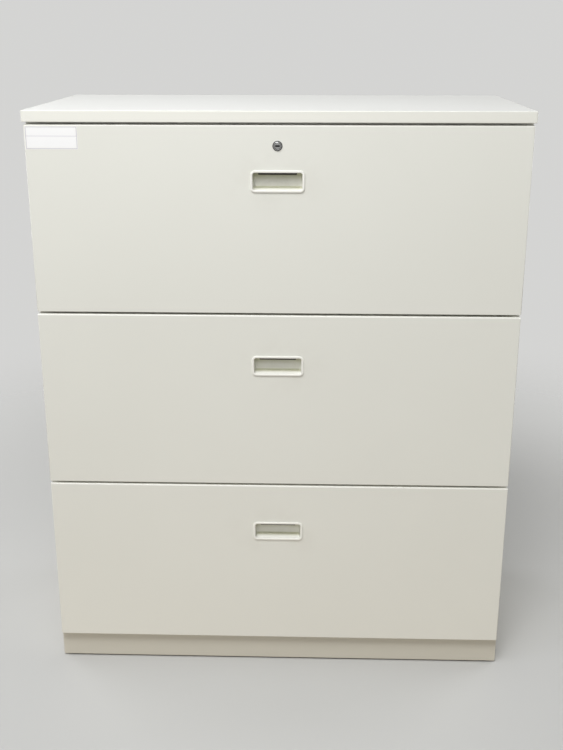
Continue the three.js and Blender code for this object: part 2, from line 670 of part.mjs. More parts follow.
function pull(number) {
  const bevel = { bevelThickness: PULL_BEVEL, bevelSize: PULL_BEVEL, bevelSegments: 2 };
  const half = PULL_WIDTH / 2 - PULL_BEVEL;
  const rise = PULL_HEIGHT / 2 - PULL_BEVEL;
  const plate = rectangle(-half, -rise, half, rise, PULL_CORNER - PULL_BEVEL);
  const bezel = prism(plate, "y", PULL_BEVEL - PULL_BEZEL - FIT, -FIT - PULL_BEVEL, {
    ...bevel,
    bevelEnabled: true,
  });
  const shell = prism(cupSection(-FIT - PULL_BEVEL, CUP_WALL), "x", -PULL_OUTER_HALF, PULL_OUTER_HALF);
  const hollow = prism(cupSection(LIP_DEPTH / 2, 0), "x", -MOUTH_WIDTH / 2, MOUTH_WIDTH / 2);
  const [wide, tall] = [MOUTH_WIDTH / 2, MOUTH_HEIGHT / 2];
  const mouth = rectangle(-wide, -tall, wide, tall, MOUTH_CORNER);
  const opening = prism(mouth, "y", -THROUGH, LIP_DEPTH);
  const slot = block(
    [-PAD_WIDTH / 2 - FIT, PAD_FRONT - FIT, POCKET_CEILING - SHEET],
    [PAD_WIDTH / 2 + FIT, PAD_BACK + FIT, POCKET_CEILING + THROUGH],
  );
  const cup = bezel.add(shell).subtract(hollow).subtract(opening).subtract(slot);
  const mesh = piece(`pull_${number}`, pullPlastic, cup);
  mesh.position.z = PULL_MIDDLE;
  return mesh;
}

// The finger latch: a pad behind the lip of the pull, a rod up inside the front, and a hook over the rail.
function latch(number) {
  const padTop = PULL_MIDDLE + POCKET_CEILING + PAD_RISE;
  const padLow = PULL_MIDDLE + MOUTH_HEIGHT / 2 - PAD_SHOWS;
  const armTop = HOOK_UNDERSIDE + HOOK_ARM;
  const tipFront = RAIL_WEB + FRAME_SHEET + HOOK_GAP;
  const outline = rectangle(-PAD_WIDTH / 2, padLow, PAD_WIDTH / 2, padTop, 1);
  const pad = prism(outline, "y", PAD_FRONT, PAD_BACK);
  const rod = block([ROD_LEFT, PAD_BACK - BAR, padTop - SHEET], [ROD_RIGHT, PAD_BACK, armTop]);
  const hook = new THREE.Shape().moveTo(PAD_BACK - BAR, HOOK_UNDERSIDE);
  hook.lineTo(tipFront, HOOK_UNDERSIDE);
  hook.lineTo(tipFront, HOOK_UNDERSIDE - LATCH_LIFT);
  hook.lineTo(tipFront + HOOK_TIP, HOOK_UNDERSIDE - LATCH_LIFT / 2);
  hook.lineTo(tipFront + HOOK_TIP, armTop);
  hook.lineTo(PAD_BACK - BAR, armTop);
  const head = prism(hook, "x", ROD_LEFT, ROD_RIGHT);
  return piece(`finger_latch_${number}`, latchPlastic, joined([pad, rod, head]));
}

// Lock: a face ring and barrel in the front, a plug that turns in it, and a cam on the plug's tail

function lock() {
  const group = new THREE.Group();
  const bevel = { bevelThickness: LOCK_FACE_BEVEL, bevelSize: LOCK_FACE_BEVEL, bevelSegments: 2 };
  const rim = new THREE.Shape().absarc(0, 0, LOCK_FACE_RADIUS - LOCK_FACE_BEVEL, 0, 4 * QUARTER_TURN);
  const face = prism(rim, "y", LOCK_FACE_BEVEL - LOCK_FACE_RISE - FIT, -FIT - LOCK_FACE_BEVEL, {
    ...bevel,
    bevelEnabled: true,
    curveSegments: ROUND_SEGMENTS,
  });
  const bore = roundBar(0, 0, PLUG_RADIUS + FIT, -THROUGH, THROUGH);
  const housing = face.add(roundBar(0, 0, BARREL_RADIUS, -SHEET, BARREL_LENGTH)).subtract(bore);
  group.add(piece("lock_housing", lockMetal, housing));

  const plugFront = PLUG_RECESS - LOCK_FACE_RISE - FIT;
  const plugBack = CAM_FRONT - FIT;
  const keyway = rectangle(-KEYWAY_WIDTH / 2, -KEYWAY_HEIGHT / 2, KEYWAY_WIDTH / 2, KEYWAY_HEIGHT / 2);
  const corner = TAIL_SIDE * Math.SQRT1_2;
  const square = new THREE.Shape().moveTo(corner, 0).lineTo(0, corner).lineTo(-corner, 0).lineTo(0, -corner);
  const tail = prism(square, "y", plugBack - SHEET, CAM_FRONT + CAM_THICKNESS);
  const neck = roundBar(0, 0, PLUG_RADIUS, plugFront, plugBack).add(tail);
  const plug = neck.subtract(prism(keyway, "y", plugFront - SHEET, plugFront + KEYWAY_DEPTH));
  group.add(piece("lock_plug", lockMetal, plug));

  const camBack = CAM_FRONT + CAM_THICKNESS;
  const pinBack = SLIDER_BACK - FACE_Y + RUNNING;
  const hole = TAIL_SIDE / 2 + FIT;
  const armHalf = CRANK_PIN_RADIUS + 1;
  const arm = block([-armHalf, CAM_FRONT, 0], [armHalf, camBack, CRANK + armHalf]);
  const pin = roundBar(0, CRANK, CRANK_PIN_RADIUS, camBack - SHEET, pinBack);
  const seat = block([-hole, CAM_FRONT - SHEET, -hole], [hole, camBack + SHEET, hole]);
  const boss = roundBar(0, 0, CAM_BOSS, CAM_FRONT, camBack);
  const cam = piece("lock_cam", zincSteel, joined([boss, arm, pin]).subtract(seat));
  cam.rotation.y = -QUARTER_TURN / 2;
  group.add(cam);
  group.position.z = LOCK_HEIGHT;
  return group;
}

// Locking bars: the cam pushes a slider along the top rail, whose slanting slot lifts the bar up the
// right-hand upright, and the bar's fingers then stand in front of the lugs on the trays

const DRIVE_PIN_X = LOCK_BAR_LEFT + LOCK_BAR_WIDTH / 2;
const DRIVE_PIN_HEIGHT = SLIDER_UNDERSIDE + DRIVE_PIN_RADIUS + SLIDER_MARGIN;

function slantedSlot() {
  const radius = DRIVE_PIN_RADIUS + FIT;
  const run = Math.hypot(SLIDER_TRAVEL, BAR_LIFT);
  const along = Math.atan2(BAR_LIFT, -SLIDER_TRAVEL);
  const middle = (reach, turn) => [
    DRIVE_PIN_X + reach * Math.cos(along) + radius * Math.cos(along + turn),
    DRIVE_PIN_HEIGHT + reach * Math.sin(along) + radius * Math.sin(along + turn),
  ];
  const points = [];
  for (let i = 0; i <= ARC_SEGMENTS; i++) {
    points.push(middle(run, (2 * i * QUARTER_TURN) / ARC_SEGMENTS - QUARTER_TURN));
  }
  for (let i = 0; i <= ARC_SEGMENTS; i++) {
    points.push(middle(0, (2 * i * QUARTER_TURN) / ARC_SEGMENTS + QUARTER_TURN));
  }
  return new THREE.Shape(points.map(([u, v]) => new THREE.Vector2(u, v)));
}

function lockSlider() {
  const front = SLIDER_BACK - BAR;
  const top = SLIDER_UNDERSIDE + SLIDER_HEIGHT;
  const plateLeft = DRIVE_PIN_X - SLIDER_TRAVEL - DRIVE_PIN_RADIUS - SLIDER_MARGIN;
  const plateRight = DRIVE_PIN_X + DRIVE_PIN_RADIUS + SLIDER_MARGIN / 2;
  const plateTop = DRIVE_PIN_HEIGHT + BAR_LIFT + DRIVE_PIN_RADIUS + SLIDER_MARGIN / 2;
  const strip = block([-SLIDER_LEFT_END, front, SLIDER_UNDERSIDE], [plateRight, SLIDER_BACK, top]);
  const plate = block([plateLeft, front, SLIDER_UNDERSIDE], [plateRight, SLIDER_BACK, plateTop]);
  const restX = -SLIDER_TRAVEL / 2;
  const reach = CRANK_PIN_RADIUS + CRANK_PLAY;
  const low = LOCK_HEIGHT + CRANK * Math.cos(QUARTER_TURN / 2) - reach;
  const notchHigh = [restX + reach, SLIDER_BACK + SHEET, top + SHEET];
  const notch = block([restX - reach, front - SHEET, low], notchHigh);
  const slot = prism(slantedSlot(), "y", front - SHEET, SLIDER_BACK + SHEET);
  return piece("lock_slider", zincSteel, strip.add(plate).subtract(notch).subtract(slot));
}

function lockBar() {
  const front = LOCK_BAR_BACK - BAR;
  const right = LOCK_BAR_LEFT + LOCK_BAR_WIDTH;
  const top = DRIVE_PIN_HEIGHT + 2 * DRIVE_PIN_RADIUS;
  const fingerTop = LUG_ABOVE_EDGE - FINGER_GAP;
  const lowest = fingerTop - FINGER_HEIGHT - (DRAWER_COUNT - 1) * DRAWER_PITCH;
  const strip = block([LOCK_BAR_LEFT, front, lowest], [right, LOCK_BAR_BACK, top]);
  const pinFront = SLIDER_BACK - BAR - FIT;
  const pin = roundBar(DRIVE_PIN_X, DRIVE_PIN_HEIGHT, DRIVE_PIN_RADIUS, pinFront, front + SHEET);
  const fingers = [];
  for (let below = 0; below < DRAWER_COUNT; below++) {
    const z = fingerTop - below * DRAWER_PITCH;
    const low = [TRAY_HALF + RUNNER_FLANGE_GAP, front, z - FINGER_HEIGHT];
    fingers.push(block(low, [LOCK_BAR_LEFT + SHEET, LOCK_BAR_BACK, z]));
  }
  return piece("lock_bar", zincSteel, joined([strip, pin, ...fingers]));
}

// The whole cabinet

function carcass() {
  const group = new THREE.Group();
  const rear = BACK_PANEL_FRONT - UPRIGHT_REAR_GAP - UPRIGHT_DEPTH;
  for (const [word, side] of SIDES) {
    group.add(sidePanel(`${word}_side_panel`, side));
    group.add(upright(`front_${word}_upright`, side, UPRIGHT_FRONT));
    group.add(upright(`rear_${word}_upright`, side, rear));
    group.add(plinthSideRail(`plinth_${word}_rail`, side));
    for (const [end, y] of FOOT_YS) {
      group.add(levellingFoot(`${end}_${word}_foot`, side * FOOT_X, y));
    }
  }
  group.add(topPanel(), bottomPanel(), backPanel());
  group.add(plinthEndRail("plinth_front_rail", PLINTH_FRONT, 1));
  group.add(plinthEndRail("plinth_rear_rail", PLINTH_BACK, -1));
  return group;
}

// A drawer, its cross rail and its runners stand together at the drawer's height.
function drawerBay(number) {
  const bay = new THREE.Group();
  bay.position.z = FRONTS_BOTTOM + (DRAWER_COUNT - number) * DRAWER_PITCH;
  const drawer = new THREE.Group();
  drawer.position.y = FACE_Y;
  drawer.add(frontPanel(number), frontLiner(number), tray(number), pull(number), latch(number));
  drawer.add(crossRail(number));
  if (number === 1) drawer.add(lock());
  bay.add(drawer, runners(number));
  if (number === 1) bay.add(lockSlider(), lockBar());
  return bay;
}

const cabinet = new THREE.Group();
cabinet.name = "lateral_filing_cabinet";
cabinet.add(worktop(), carcass());
for (let number = 1; number <= DRAWER_COUNT; number++) {
  cabinet.add(drawerBay(number));
}

export default cabinet;
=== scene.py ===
"""Visual model of a white lateral filing cabinet: worktop, three drawers with cup pulls, lock and plinth.

Sizes are in millimetres in the frame of the CAD model: +X right, -Y towards the front, +Z up.
Every new piece is a surface worked out with numpy, and every finish is a procedural material.
"""
import logging
import math
from dataclasses import dataclass, field
from enum import Enum
from typing import Union

import bmesh
import bpy
import numpy as np
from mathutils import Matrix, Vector


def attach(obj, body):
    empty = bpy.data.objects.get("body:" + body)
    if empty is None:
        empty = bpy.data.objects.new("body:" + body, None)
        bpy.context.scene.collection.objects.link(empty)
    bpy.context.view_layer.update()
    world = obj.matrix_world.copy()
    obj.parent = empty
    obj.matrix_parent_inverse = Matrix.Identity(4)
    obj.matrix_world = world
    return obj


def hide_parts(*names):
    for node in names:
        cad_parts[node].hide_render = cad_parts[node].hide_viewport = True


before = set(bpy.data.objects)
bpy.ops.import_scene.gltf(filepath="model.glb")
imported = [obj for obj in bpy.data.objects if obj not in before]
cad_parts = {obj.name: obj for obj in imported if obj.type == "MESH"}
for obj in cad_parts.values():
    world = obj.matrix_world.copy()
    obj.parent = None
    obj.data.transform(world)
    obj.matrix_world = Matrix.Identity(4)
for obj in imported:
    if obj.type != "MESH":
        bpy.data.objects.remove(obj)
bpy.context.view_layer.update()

MM = 0.001
FACE_Y = -222.5
DRAWERS = (1, 2, 3)
FRONT_HEIGHT = 340.0
FRONT_PITCH = 344.0
LOWEST_FRONT = 60.0
PULL_ABOVE_EDGE = 242.0
LOCK_Z = 1052.0
WORKTOP_LOW = 1092.0
WORKTOP_HIGH = 1112.0
ARC_STEPS = 6
BOX_ROUNDING_STEPS = 4
MERGE_DISTANCE = 2e-6
SLIVER_LENGTH = 1e-7
SKIN_GAP = 0.02

Array = np.ndarray
Pair = tuple[float, float]
Triple = tuple[float, float, float]
Colour = Triple
Material = bpy.types.Material
Socket = bpy.types.NodeSocket
Term = Union["Value", float]
log = logging.getLogger("cabinet")


class Slot(Enum):
    """The material slots of the record."""

    PAINT = "paint"
    LAMINATE = "laminate"
    EDGE_BAND = "edge_band"
    PULL = "pull_plastic"
    LATCH = "latch_plastic"
    ZINC = "zinc_steel"
    LOCK = "lock_metal"
    FOOT = "foot_plastic"


class Plane(Enum):
    """The world axes that take an outline's two directions and its level."""

    FRONT = (0, 2, 1)
    PLAN = (0, 1, 2)


class Side(Enum):
    """The two sides of the cabinet, as the names of nodes have them."""

    LEFT = "left"
    RIGHT = "right"


class End(Enum):
    """The two ends of the cabinet's depth, as the names of nodes have them."""

    FRONT = "front"
    REAR = "rear"


# ---- shader trees


@dataclass(frozen=True)
class Value:
    """One number of a node tree, so that sums on it read as plain Python."""

    sheet: "NodeSheet"
    socket: Socket

    def maths(self, operation: str, *terms: Term) -> "Value":
        """Returns the result of one Math node, with its inputs in order."""
        return self.sheet.value("ShaderNodeMath", {"operation": operation}, dict(enumerate(terms)))

    def __add__(self, other: Term) -> "Value":
        """Returns self + other."""
        return self.maths("ADD", self, other)

    def __radd__(self, other: Term) -> "Value":
        """Returns other + self."""
        return self.maths("ADD", other, self)

    def __sub__(self, other: Term) -> "Value":
        """Returns self - other."""
        return self.maths("SUBTRACT", self, other)

    def __rsub__(self, other: Term) -> "Value":
        """Returns other - self."""
        return self.maths("SUBTRACT", other, self)

    def __mul__(self, other: Term) -> "Value":
        """Returns self * other."""
        return self.maths("MULTIPLY", self, other)

    def __rmul__(self, other: Term) -> "Value":
        """Returns other * self."""
        return self.maths("MULTIPLY", other, self)

    def __abs__(self) -> "Value":
        """Returns the value without its sign."""
        return self.maths("ABSOLUTE", self)

    def root(self) -> "Value":
        """Returns the square root."""
        return self.maths("SQRT", self)

    def sine(self) -> "Value":
        """Returns the sine."""
        return self.maths("SINE", self)

    def most(self, other: Term) -> "Value":
        """Returns the larger of two values."""
        return self.maths("MAXIMUM", self, other)

    def wrapped(self, low: float, high: float) -> "Value":
        """Returns the value wrapped round into low to high."""
        return self.maths("WRAP", self, high, low)

    def step(self, low: float, high: float) -> "Value":
        """Returns a smooth step, 0 up to low and 1 from high on."""
        inputs = {"Value": self, "From Min": low, "From Max": high}
        return self.sheet.value("ShaderNodeMapRange", {"interpolation_type": "SMOOTHSTEP"}, inputs)


class NodeSheet:
    """The node tree of a material or of the world."""

    def __init__(self, tree: bpy.types.NodeTree) -> None:
        """Empties the tree and keeps it."""
        self.tree = tree
        tree.nodes.clear()

    def node(self, kind: str, settings: dict | None = None, inputs: dict | None = None) -> bpy.types.Node:
        """Adds a node.

        Args:
            kind: the node's type name.
            settings: its properties, which are set first.
            inputs: socket names or numbers, with a value, a socket or a constant for each.

        Returns:
            The new node.
        """
        node = self.tree.nodes.new(kind)
        for name, setting in (settings or {}).items():
            setattr(node, name, setting)
        for name, term in (inputs or {}).items():
            self.plug(node.inputs[name], term)
        return node

    def plug(self, socket: Socket, term: object) -> None:
        """Links a value or a socket to an input, or sets a constant on it.

        Args:
            socket: the input.
            term: what goes into it.
        """
        source = term.socket if isinstance(term, Value) else term
        if isinstance(source, Socket):
            self.tree.links.new(source, socket)
        elif socket.type == "RGBA":
            socket.default_value = (*term, 1.0)
        else:
            socket.default_value = term

    def value(self, kind: str, settings: dict, inputs: dict) -> Value:
        """Adds a node and returns its first output as a value."""
        return Value(self, self.node(kind, settings, inputs).outputs[0])

    def seen(self) -> Value:
        """Tells looking from lighting.

        Returns:
            1 where the surface is looked at, straight, mirrored or through glass, and 0 where it gives light.
        """
        path = self.node("ShaderNodeLightPath").outputs
        rays = ("Is Camera Ray", "Is Glossy Ray", "Is Transmission Ray")
        direct, mirrored, through = (Value(self, path[name]) for name in rays)
        return direct.most(mirrored).most(through)


class Shader(NodeSheet):
    """The node tree of one surface, read in object coordinates in metres."""

    def __init__(self, name: str) -> None:
        """Makes an empty material and its coordinate node.

        Args:
            name: of the material.
        """
        self.material = bpy.data.materials.new(name)
        self.material.use_nodes = True
        super().__init__(self.material.node_tree)
        self.place = self.node("ShaderNodeTexCoord").outputs["Object"]

    def axes(self) -> tuple[Value, ...]:
        """Returns x, y and z of the point in metres."""
        split = self.node("ShaderNodeSeparateXYZ", None, {0: self.place})
        return tuple(Value(self, socket) for socket in split.outputs)

    def pull_lift(self) -> Value:
        """Returns the point's height above the middle of the nearest pull."""
        half = 0.5 * FRONT_PITCH * MM
        return (self.axes()[2] - (LOWEST_FRONT + PULL_ABOVE_EDGE) * MM).wrapped(-half, half)

    def stretched(self, scale: Triple) -> Socket:
        """Returns the coordinates multiplied axis by axis."""
        inputs = {0: self.place, 1: scale}
        return self.node("ShaderNodeVectorMath", {"operation": "MULTIPLY"}, inputs).outputs[0]

    def noise(self, scale: float, detail: float = 2.0, rough: float = 0.5,
              place: Socket | None = None) -> Value:
        """Adds soft noise.

        Args:
            scale: blotches per metre of the coordinates.
            detail: octaves.
            rough: weight of the finer octaves.
            place: coordinates other than the object's own.

        Returns:
            The noise, about 0.5 on average.
        """
        inputs = {"Vector": place or self.place, "Scale": scale, "Detail": detail, "Roughness": rough}
        return self.value("ShaderNodeTexNoise", {}, inputs)

    def cells(self, scale: float) -> Value:
        """Returns a random number for each cell of a crystal pattern."""
        voronoi = self.node("ShaderNodeTexVoronoi", {"feature": "F1"}, {"Vector": self.place, "Scale": scale})
        return self.value("ShaderNodeSeparateColor", {}, {0: voronoi.outputs["Color"]})

    def mix(self, first: object, second: object, share: Term) -> Socket:
        """Returns a colour between two colours, the second one's part being share."""
        inputs = {0: share, 6: first, 7: second}
        return self.node("ShaderNodeMix", {"data_type": "RGBA", "clamp_factor": True}, inputs).outputs[2]

    def bump(self, height: Value, depth: float, strength: float) -> Socket:
        """Returns the normal of a surface raised by height times depth metres."""
        inputs = {"Height": height, "Distance": depth, "Strength": strength}
        return self.node("ShaderNodeBump", None, inputs).outputs[0]

    def finished(self, **sockets: object) -> Material:
        """Adds the surface shader.

        Args:
            sockets: its inputs, with underscores for spaces.

        Returns:
            The material.
        """
        inputs = {name.replace("_", " "): term for name, term in sockets.items()}
        surface = self.node("ShaderNodeBsdfPrincipled", None, inputs)
        output = self.node("ShaderNodeOutputMaterial")
        self.tree.links.new(surface.outputs[0], output.inputs[0])
        return self.material


# ---- finishes


@dataclass(frozen=True)
class PowderCoat:
    """Satin white powder coat on steel sheet, with orange peel, faint clouding and marks of use."""

    name: str
    colour: Colour = (0.800, 0.800, 0.742)
    shade: Colour = (0.762, 0.760, 0.700)
    grime: Colour = (0.52, 0.49, 0.42)
    roughness: float = 0.40
    peel: float = 620.0
    splash: Pair = (0.002, 0.075)
    touch: Pair = (0.018, 0.075)
    handled: bool = False

    def material(self) -> Material:
        """Clouds the paint, with grime near the floor, and finger marks round the pulls where handled.

        Returns:
            The material.
        """
        sheet = Shader(self.name)
        x, _, z = sheet.axes()
        cloud = sheet.noise(2.6, 3.0, 0.55)
        smear = sheet.noise(17.0, 4.0, 0.62)
        peel = sheet.noise(self.peel, 1.5, 0.4)
        speck = sheet.noise(2400.0, 0.0)
        grime = (1.0 - z.step(*self.splash)) * smear.step(0.42, 0.72)
        tone = sheet.mix(self.colour, self.shade, (cloud - 0.32) * 1.1)
        tone = sheet.mix(tone, self.grime, grime * 0.16)
        gloss = self.roughness + (smear - 0.5) * 0.16
        if self.handled:
            lift = sheet.pull_lift()
            reach = (x * x * 0.35 + lift * lift).root()
            touched = (1.0 - reach.step(*self.touch)) * smear.step(0.40, 0.66)
            tone = sheet.mix(tone, self.grime, touched * 0.10)
            gloss = gloss - touched * 0.07
        normal = sheet.bump(peel + speck * 0.22, 0.00016, 0.32)
        return sheet.finished(Base_Color=tone, Roughness=gloss, Normal=normal, IOR=1.48)


@dataclass(frozen=True)
class LaminateSheet:
    """White melamine laminate with a fine pearl emboss and a few wiped streaks."""

    name: str = "worktop_laminate"
    colour: Colour = (0.785, 0.785, 0.762)
    shade: Colour = (0.748, 0.746, 0.716)
    roughness: float = 0.72

    def material(self) -> Material:
        """Clouds the colour, wipes streaks into the gloss and embosses the face.

        Returns:
            The material.
        """
        sheet = Shader(self.name)
        cloud = sheet.noise(3.1, 3.0, 0.6)
        wipe = sheet.noise(1.0, 4.0, 0.6, sheet.stretched((3.0, 22.0, 8.0)))
        pearl = sheet.noise(1150.0, 2.0, 0.55)
        tone = sheet.mix(self.colour, self.shade, (cloud - 0.3) * 0.9)
        gloss = self.roughness + (wipe - 0.5) * 0.20
        normal = sheet.bump(pearl, 0.00012, 0.38)
        return sheet.finished(Base_Color=tone, Roughness=gloss, Normal=normal, IOR=1.5)


@dataclass(frozen=True)
class EdgeTape:
    """Extruded white edge band with faint lengthwise lines and rubbed arrises."""

    name: str = "worktop_edge_tape"
    colour: Colour = (0.835, 0.832, 0.765)
    rubbed: Colour = (0.870, 0.868, 0.815)
    arris: Pair = (0.0084, 0.0098)
    roughness: float = 0.36

    def material(self) -> Material:
        """Draws lengthwise lines and rubs the two arrises pale.

        Returns:
            The material.
        """
        sheet = Shader(self.name)
        _, _, z = sheet.axes()
        lines = sheet.noise(1.0, 2.0, 0.5, sheet.stretched((2.5, 2.5, 1600.0)))
        knocks = sheet.noise(46.0, 3.0, 0.6)
        level = 0.5 * (WORKTOP_LOW + WORKTOP_HIGH) * MM
        arris = abs(z - level).step(*self.arris) * knocks.step(0.35, 0.65)
        tone = sheet.mix(self.colour, self.rubbed, arris * 0.8 + lines * 0.2)
        gloss = self.roughness + (lines - 0.5) * 0.14 + arris * 0.10
        normal = sheet.bump(lines + knocks * 0.2, 0.00008, 0.30)
        return sheet.finished(Base_Color=tone, Roughness=gloss, Normal=normal, IOR=1.5)


@dataclass(frozen=True)
class Moulding:
    """Injection-moulded plastic with a spark-eroded grain, polished where fingers rub it."""

    name: str
    colour: Colour = (0.880, 0.875, 0.820)
    # painted shade: the dark tone mixed into the inside of the cup in place of the shade that falls there
    painted_shade: Colour = (0.33, 0.33, 0.12)
    roughness: float = 0.38
    grain: float = 1500.0
    # how strongly that painted shade is mixed in
    painted_shade_amount: float = 0.0
    cup: Pair = (0.003, 0.0165)
    ceiling: Pair = (-0.003, 0.011)
    crease: float = -0.0122
    crease_reach: Pair = (0.0004, 0.0034)

    def material(self) -> Material:
        """Grains the face and paints shade into the cup, most under its ceiling and in the crease of its
        floor.

        Returns:
            The material.
        """
        sheet = Shader(self.name)
        _, y, _ = sheet.axes()
        grain = sheet.noise(self.grain, 2.0, 0.6)
        smear = sheet.noise(70.0, 3.0, 0.6)
        # painted shade: the inside of the cup is darkened, most under its ceiling and along the crease of its
        # floor
        deep = (y - FACE_Y * MM).step(*self.cup)
        lift = sheet.pull_lift()
        corner = 1.0 - abs(lift - self.crease).step(*self.crease_reach)
        share = 0.14 + lift.step(*self.ceiling) * 0.5 + corner * 0.45 + (smear - 0.5) * 0.2
        tone = sheet.mix(self.colour, self.painted_shade, share * deep * self.painted_shade_amount)
        gloss = self.roughness + (smear - 0.5) * 0.18
        normal = sheet.bump(grain, 0.00010, 0.35)
        return sheet.finished(Base_Color=tone, Roughness=gloss, Normal=normal, IOR=1.49)


@dataclass(frozen=True)
class ZincPlate:
    """Bright zinc plate on rolled steel: pale crystals, rolling lines and duller patches."""

    name: str = "zinc_plate"
    colour: Colour = (0.60, 0.61, 0.62)
    dull: Colour = (0.43, 0.44, 0.45)
    roughness: float = 0.34

    def material(self) -> Material:
        """Scatters crystals and dull patches over rolling lines.

        Returns:
            The material.
        """
        sheet = Shader(self.name)
        crystal = sheet.cells(170.0)
        patch = sheet.noise(11.0, 3.0, 0.6)
        rolled = sheet.noise(1.0, 2.0, 0.5, sheet.stretched((900.0, 9.0, 900.0)))
        tone = sheet.mix(self.colour, self.dull, crystal * 0.35 + patch.step(0.45, 0.75) * 0.5)
        gloss = self.roughness + crystal * 0.08 + (patch - 0.5) * 0.22
        normal = sheet.bump(rolled, 0.00006, 0.35)
        return sheet.finished(Base_Color=tone, Metallic=1.0, Roughness=gloss, Normal=normal)


@dataclass(frozen=True)
class NickelPlate:
    """Satin nickel plate turned on a lathe, with a near-black outline painted round its rim for shade and
    dark reflection, and painted shade in the keyway.
    """

    name: str = "nickel_plate"
    colour: Colour = (0.41, 0.41, 0.405)
    worn: Colour = (0.24, 0.235, 0.225)
    # painted shade and dark reflection: the near-black tone of the ring's outer edge
    rim: Colour = (0.045, 0.045, 0.05)
    # painted shade: the near-black tone of the keyway and its chamfer
    hole: Colour = (0.004, 0.004, 0.004)
    roughness: float = 0.24
    turning: float = 31000.0
    scratched: Pair = (0.002, 0.0058)
    rim_edge: Pair = (0.0070, 0.0078)
    slot_end: Pair = (0.0040, 0.0042)
    slot_side: Pair = (0.0013, 0.0015)

    def material(self) -> Material:
        """Draws turning rings, a painted dark outline at the rim, painted shade in the keyway and scratches
        round it.

        Returns:
            The material.
        """
        sheet = Shader(self.name)
        x, _, z = sheet.axes()
        rise = z - LOCK_Z * MM
        radius = (x * x + rise * rise).root()
        turned = (radius * self.turning).sine()
        scratch = sheet.noise(1.0, 3.0, 0.65, sheet.stretched((2600.0, 300.0, 420.0)))
        near_slot = (1.0 - radius.step(*self.scratched)) * scratch.step(0.52, 0.66)
        tone = sheet.mix(self.colour, self.worn, near_slot * 0.6)
        # painted shade and dark reflection: the ring turns near-black towards its outer edge
        tone = sheet.mix(tone, self.rim, radius.step(*self.rim_edge) * 0.92)
        # painted shade: the keyway and its chamfer are near-black
        inside = (1.0 - abs(x).step(*self.slot_end)) * (1.0 - abs(rise).step(*self.slot_side))
        tone = sheet.mix(tone, self.hole, inside)
        gloss = self.roughness + near_slot * 0.2 + (scratch - 0.5) * 0.12 + inside * 0.4
        normal = sheet.bump(turned * 0.25 + scratch, 0.00003, 0.35)
        return sheet.finished(Base_Color=tone, Metallic=1.0, Roughness=gloss, Normal=normal)


@dataclass(frozen=True)
class FootFinish:
    """A black moulded pad under a zinc-plated threaded stem."""

    name: str = "foot_moulding"
    pad: Colour = (0.020, 0.020, 0.022)
    dust: Colour = (0.10, 0.095, 0.085)
    stem: Colour = (0.56, 0.57, 0.58)
    stem_foot: Pair = (0.0121, 0.0123)
    pitch: float = 0.0015

    def material(self) -> Material:
        """Parts pad and stem by height; the thread is a sine of the height on the stem alone.

        Returns:
            The material.
        """
        sheet = Shader(self.name)
        _, _, z = sheet.axes()
        steel = z.step(*self.stem_foot)
        dust = sheet.noise(240.0, 3.0, 0.6).step(0.45, 0.75) * (1.0 - steel)
        grain = sheet.noise(1400.0, 1.0)
        thread = (z * (2.0 * math.pi / self.pitch)).sine()
        tone = sheet.mix(sheet.mix(self.pad, self.dust, dust), self.stem, steel)
        gloss = 0.62 - steel * 0.28 + dust * 0.15
        normal = sheet.bump(thread * steel * 4.0 + grain * (1.0 - steel), 0.00012, 0.5)
        return sheet.finished(Base_Color=tone, Metallic=steel, Roughness=gloss, Normal=normal)


@dataclass(frozen=True)
class BlankLabel:
    """A white film label with a hairline frame and nothing printed in it."""

    name: str = "blank_label_film"
    middle: Pair = (-398.9, 1064.8)
    half: Pair = (46.3, 20.0)
    film: Colour = (0.93, 0.93, 0.93)
    line: Colour = (0.52, 0.50, 0.56)
    aged: Colour = (0.86, 0.84, 0.76)
    divider_rise: float = 3.1

    def material(self) -> Material:
        """Rules a frame 1.3 mm inside the nearest edge and one divider across the label.

        Returns:
            The material.
        """
        sheet = Shader(self.name)
        x, _, z = sheet.axes()
        inside = (abs(x - self.middle[0] * MM) - self.half[0] * MM).most(
            abs(z - self.middle[1] * MM) - self.half[1] * MM)
        frame_line = inside.step(-0.0019, -0.0016) - inside.step(-0.0010, -0.0007)
        above = abs(z - (self.middle[1] + self.divider_rise) * MM)
        divider = (1.0 - above.step(0.0002, 0.0005)) * (1.0 - inside.step(-0.0018, -0.0014))
        age = inside.step(-0.006, 0.0) * sheet.noise(90.0, 3.0, 0.6)
        tone = sheet.mix(sheet.mix(self.film, self.aged, age * 0.6), self.line, frame_line + divider)
        normal = sheet.bump(sheet.noise(130.0, 2.0), 0.00012, 0.25)
        return sheet.finished(Base_Color=tone, Roughness=0.30 + age * 0.2, Normal=normal, IOR=1.5)


@dataclass(frozen=True)
class Rubber:
    """Dark grey rubber of the buffers, dusty on its faces."""

    name: str = "buffer_rubber"
    colour: Colour = (0.055, 0.055, 0.058)
    dust: Colour = (0.16, 0.155, 0.15)

    def material(self) -> Material:
        """Dusts the rubber.

        Returns:
            The material.
        """
        sheet = Shader(self.name)
        dust = sheet.noise(420.0, 3.0, 0.6)
        tone = sheet.mix(self.colour, self.dust, dust.step(0.4, 0.8) * 0.6)
        normal = sheet.bump(dust, 0.0001, 0.3)
        return sheet.finished(Base_Color=tone, Roughness=0.7 + dust * 0.15, Normal=normal)


Finish = Union[PowderCoat, LaminateSheet, EdgeTape, Moulding, ZincPlate, NickelPlate, FootFinish, BlankLabel,
               Rubber]


def made(finish: Finish) -> Material:
    """Returns a dataclass field that makes the finish's material when its owner is made."""
    return field(default_factory=finish.material)


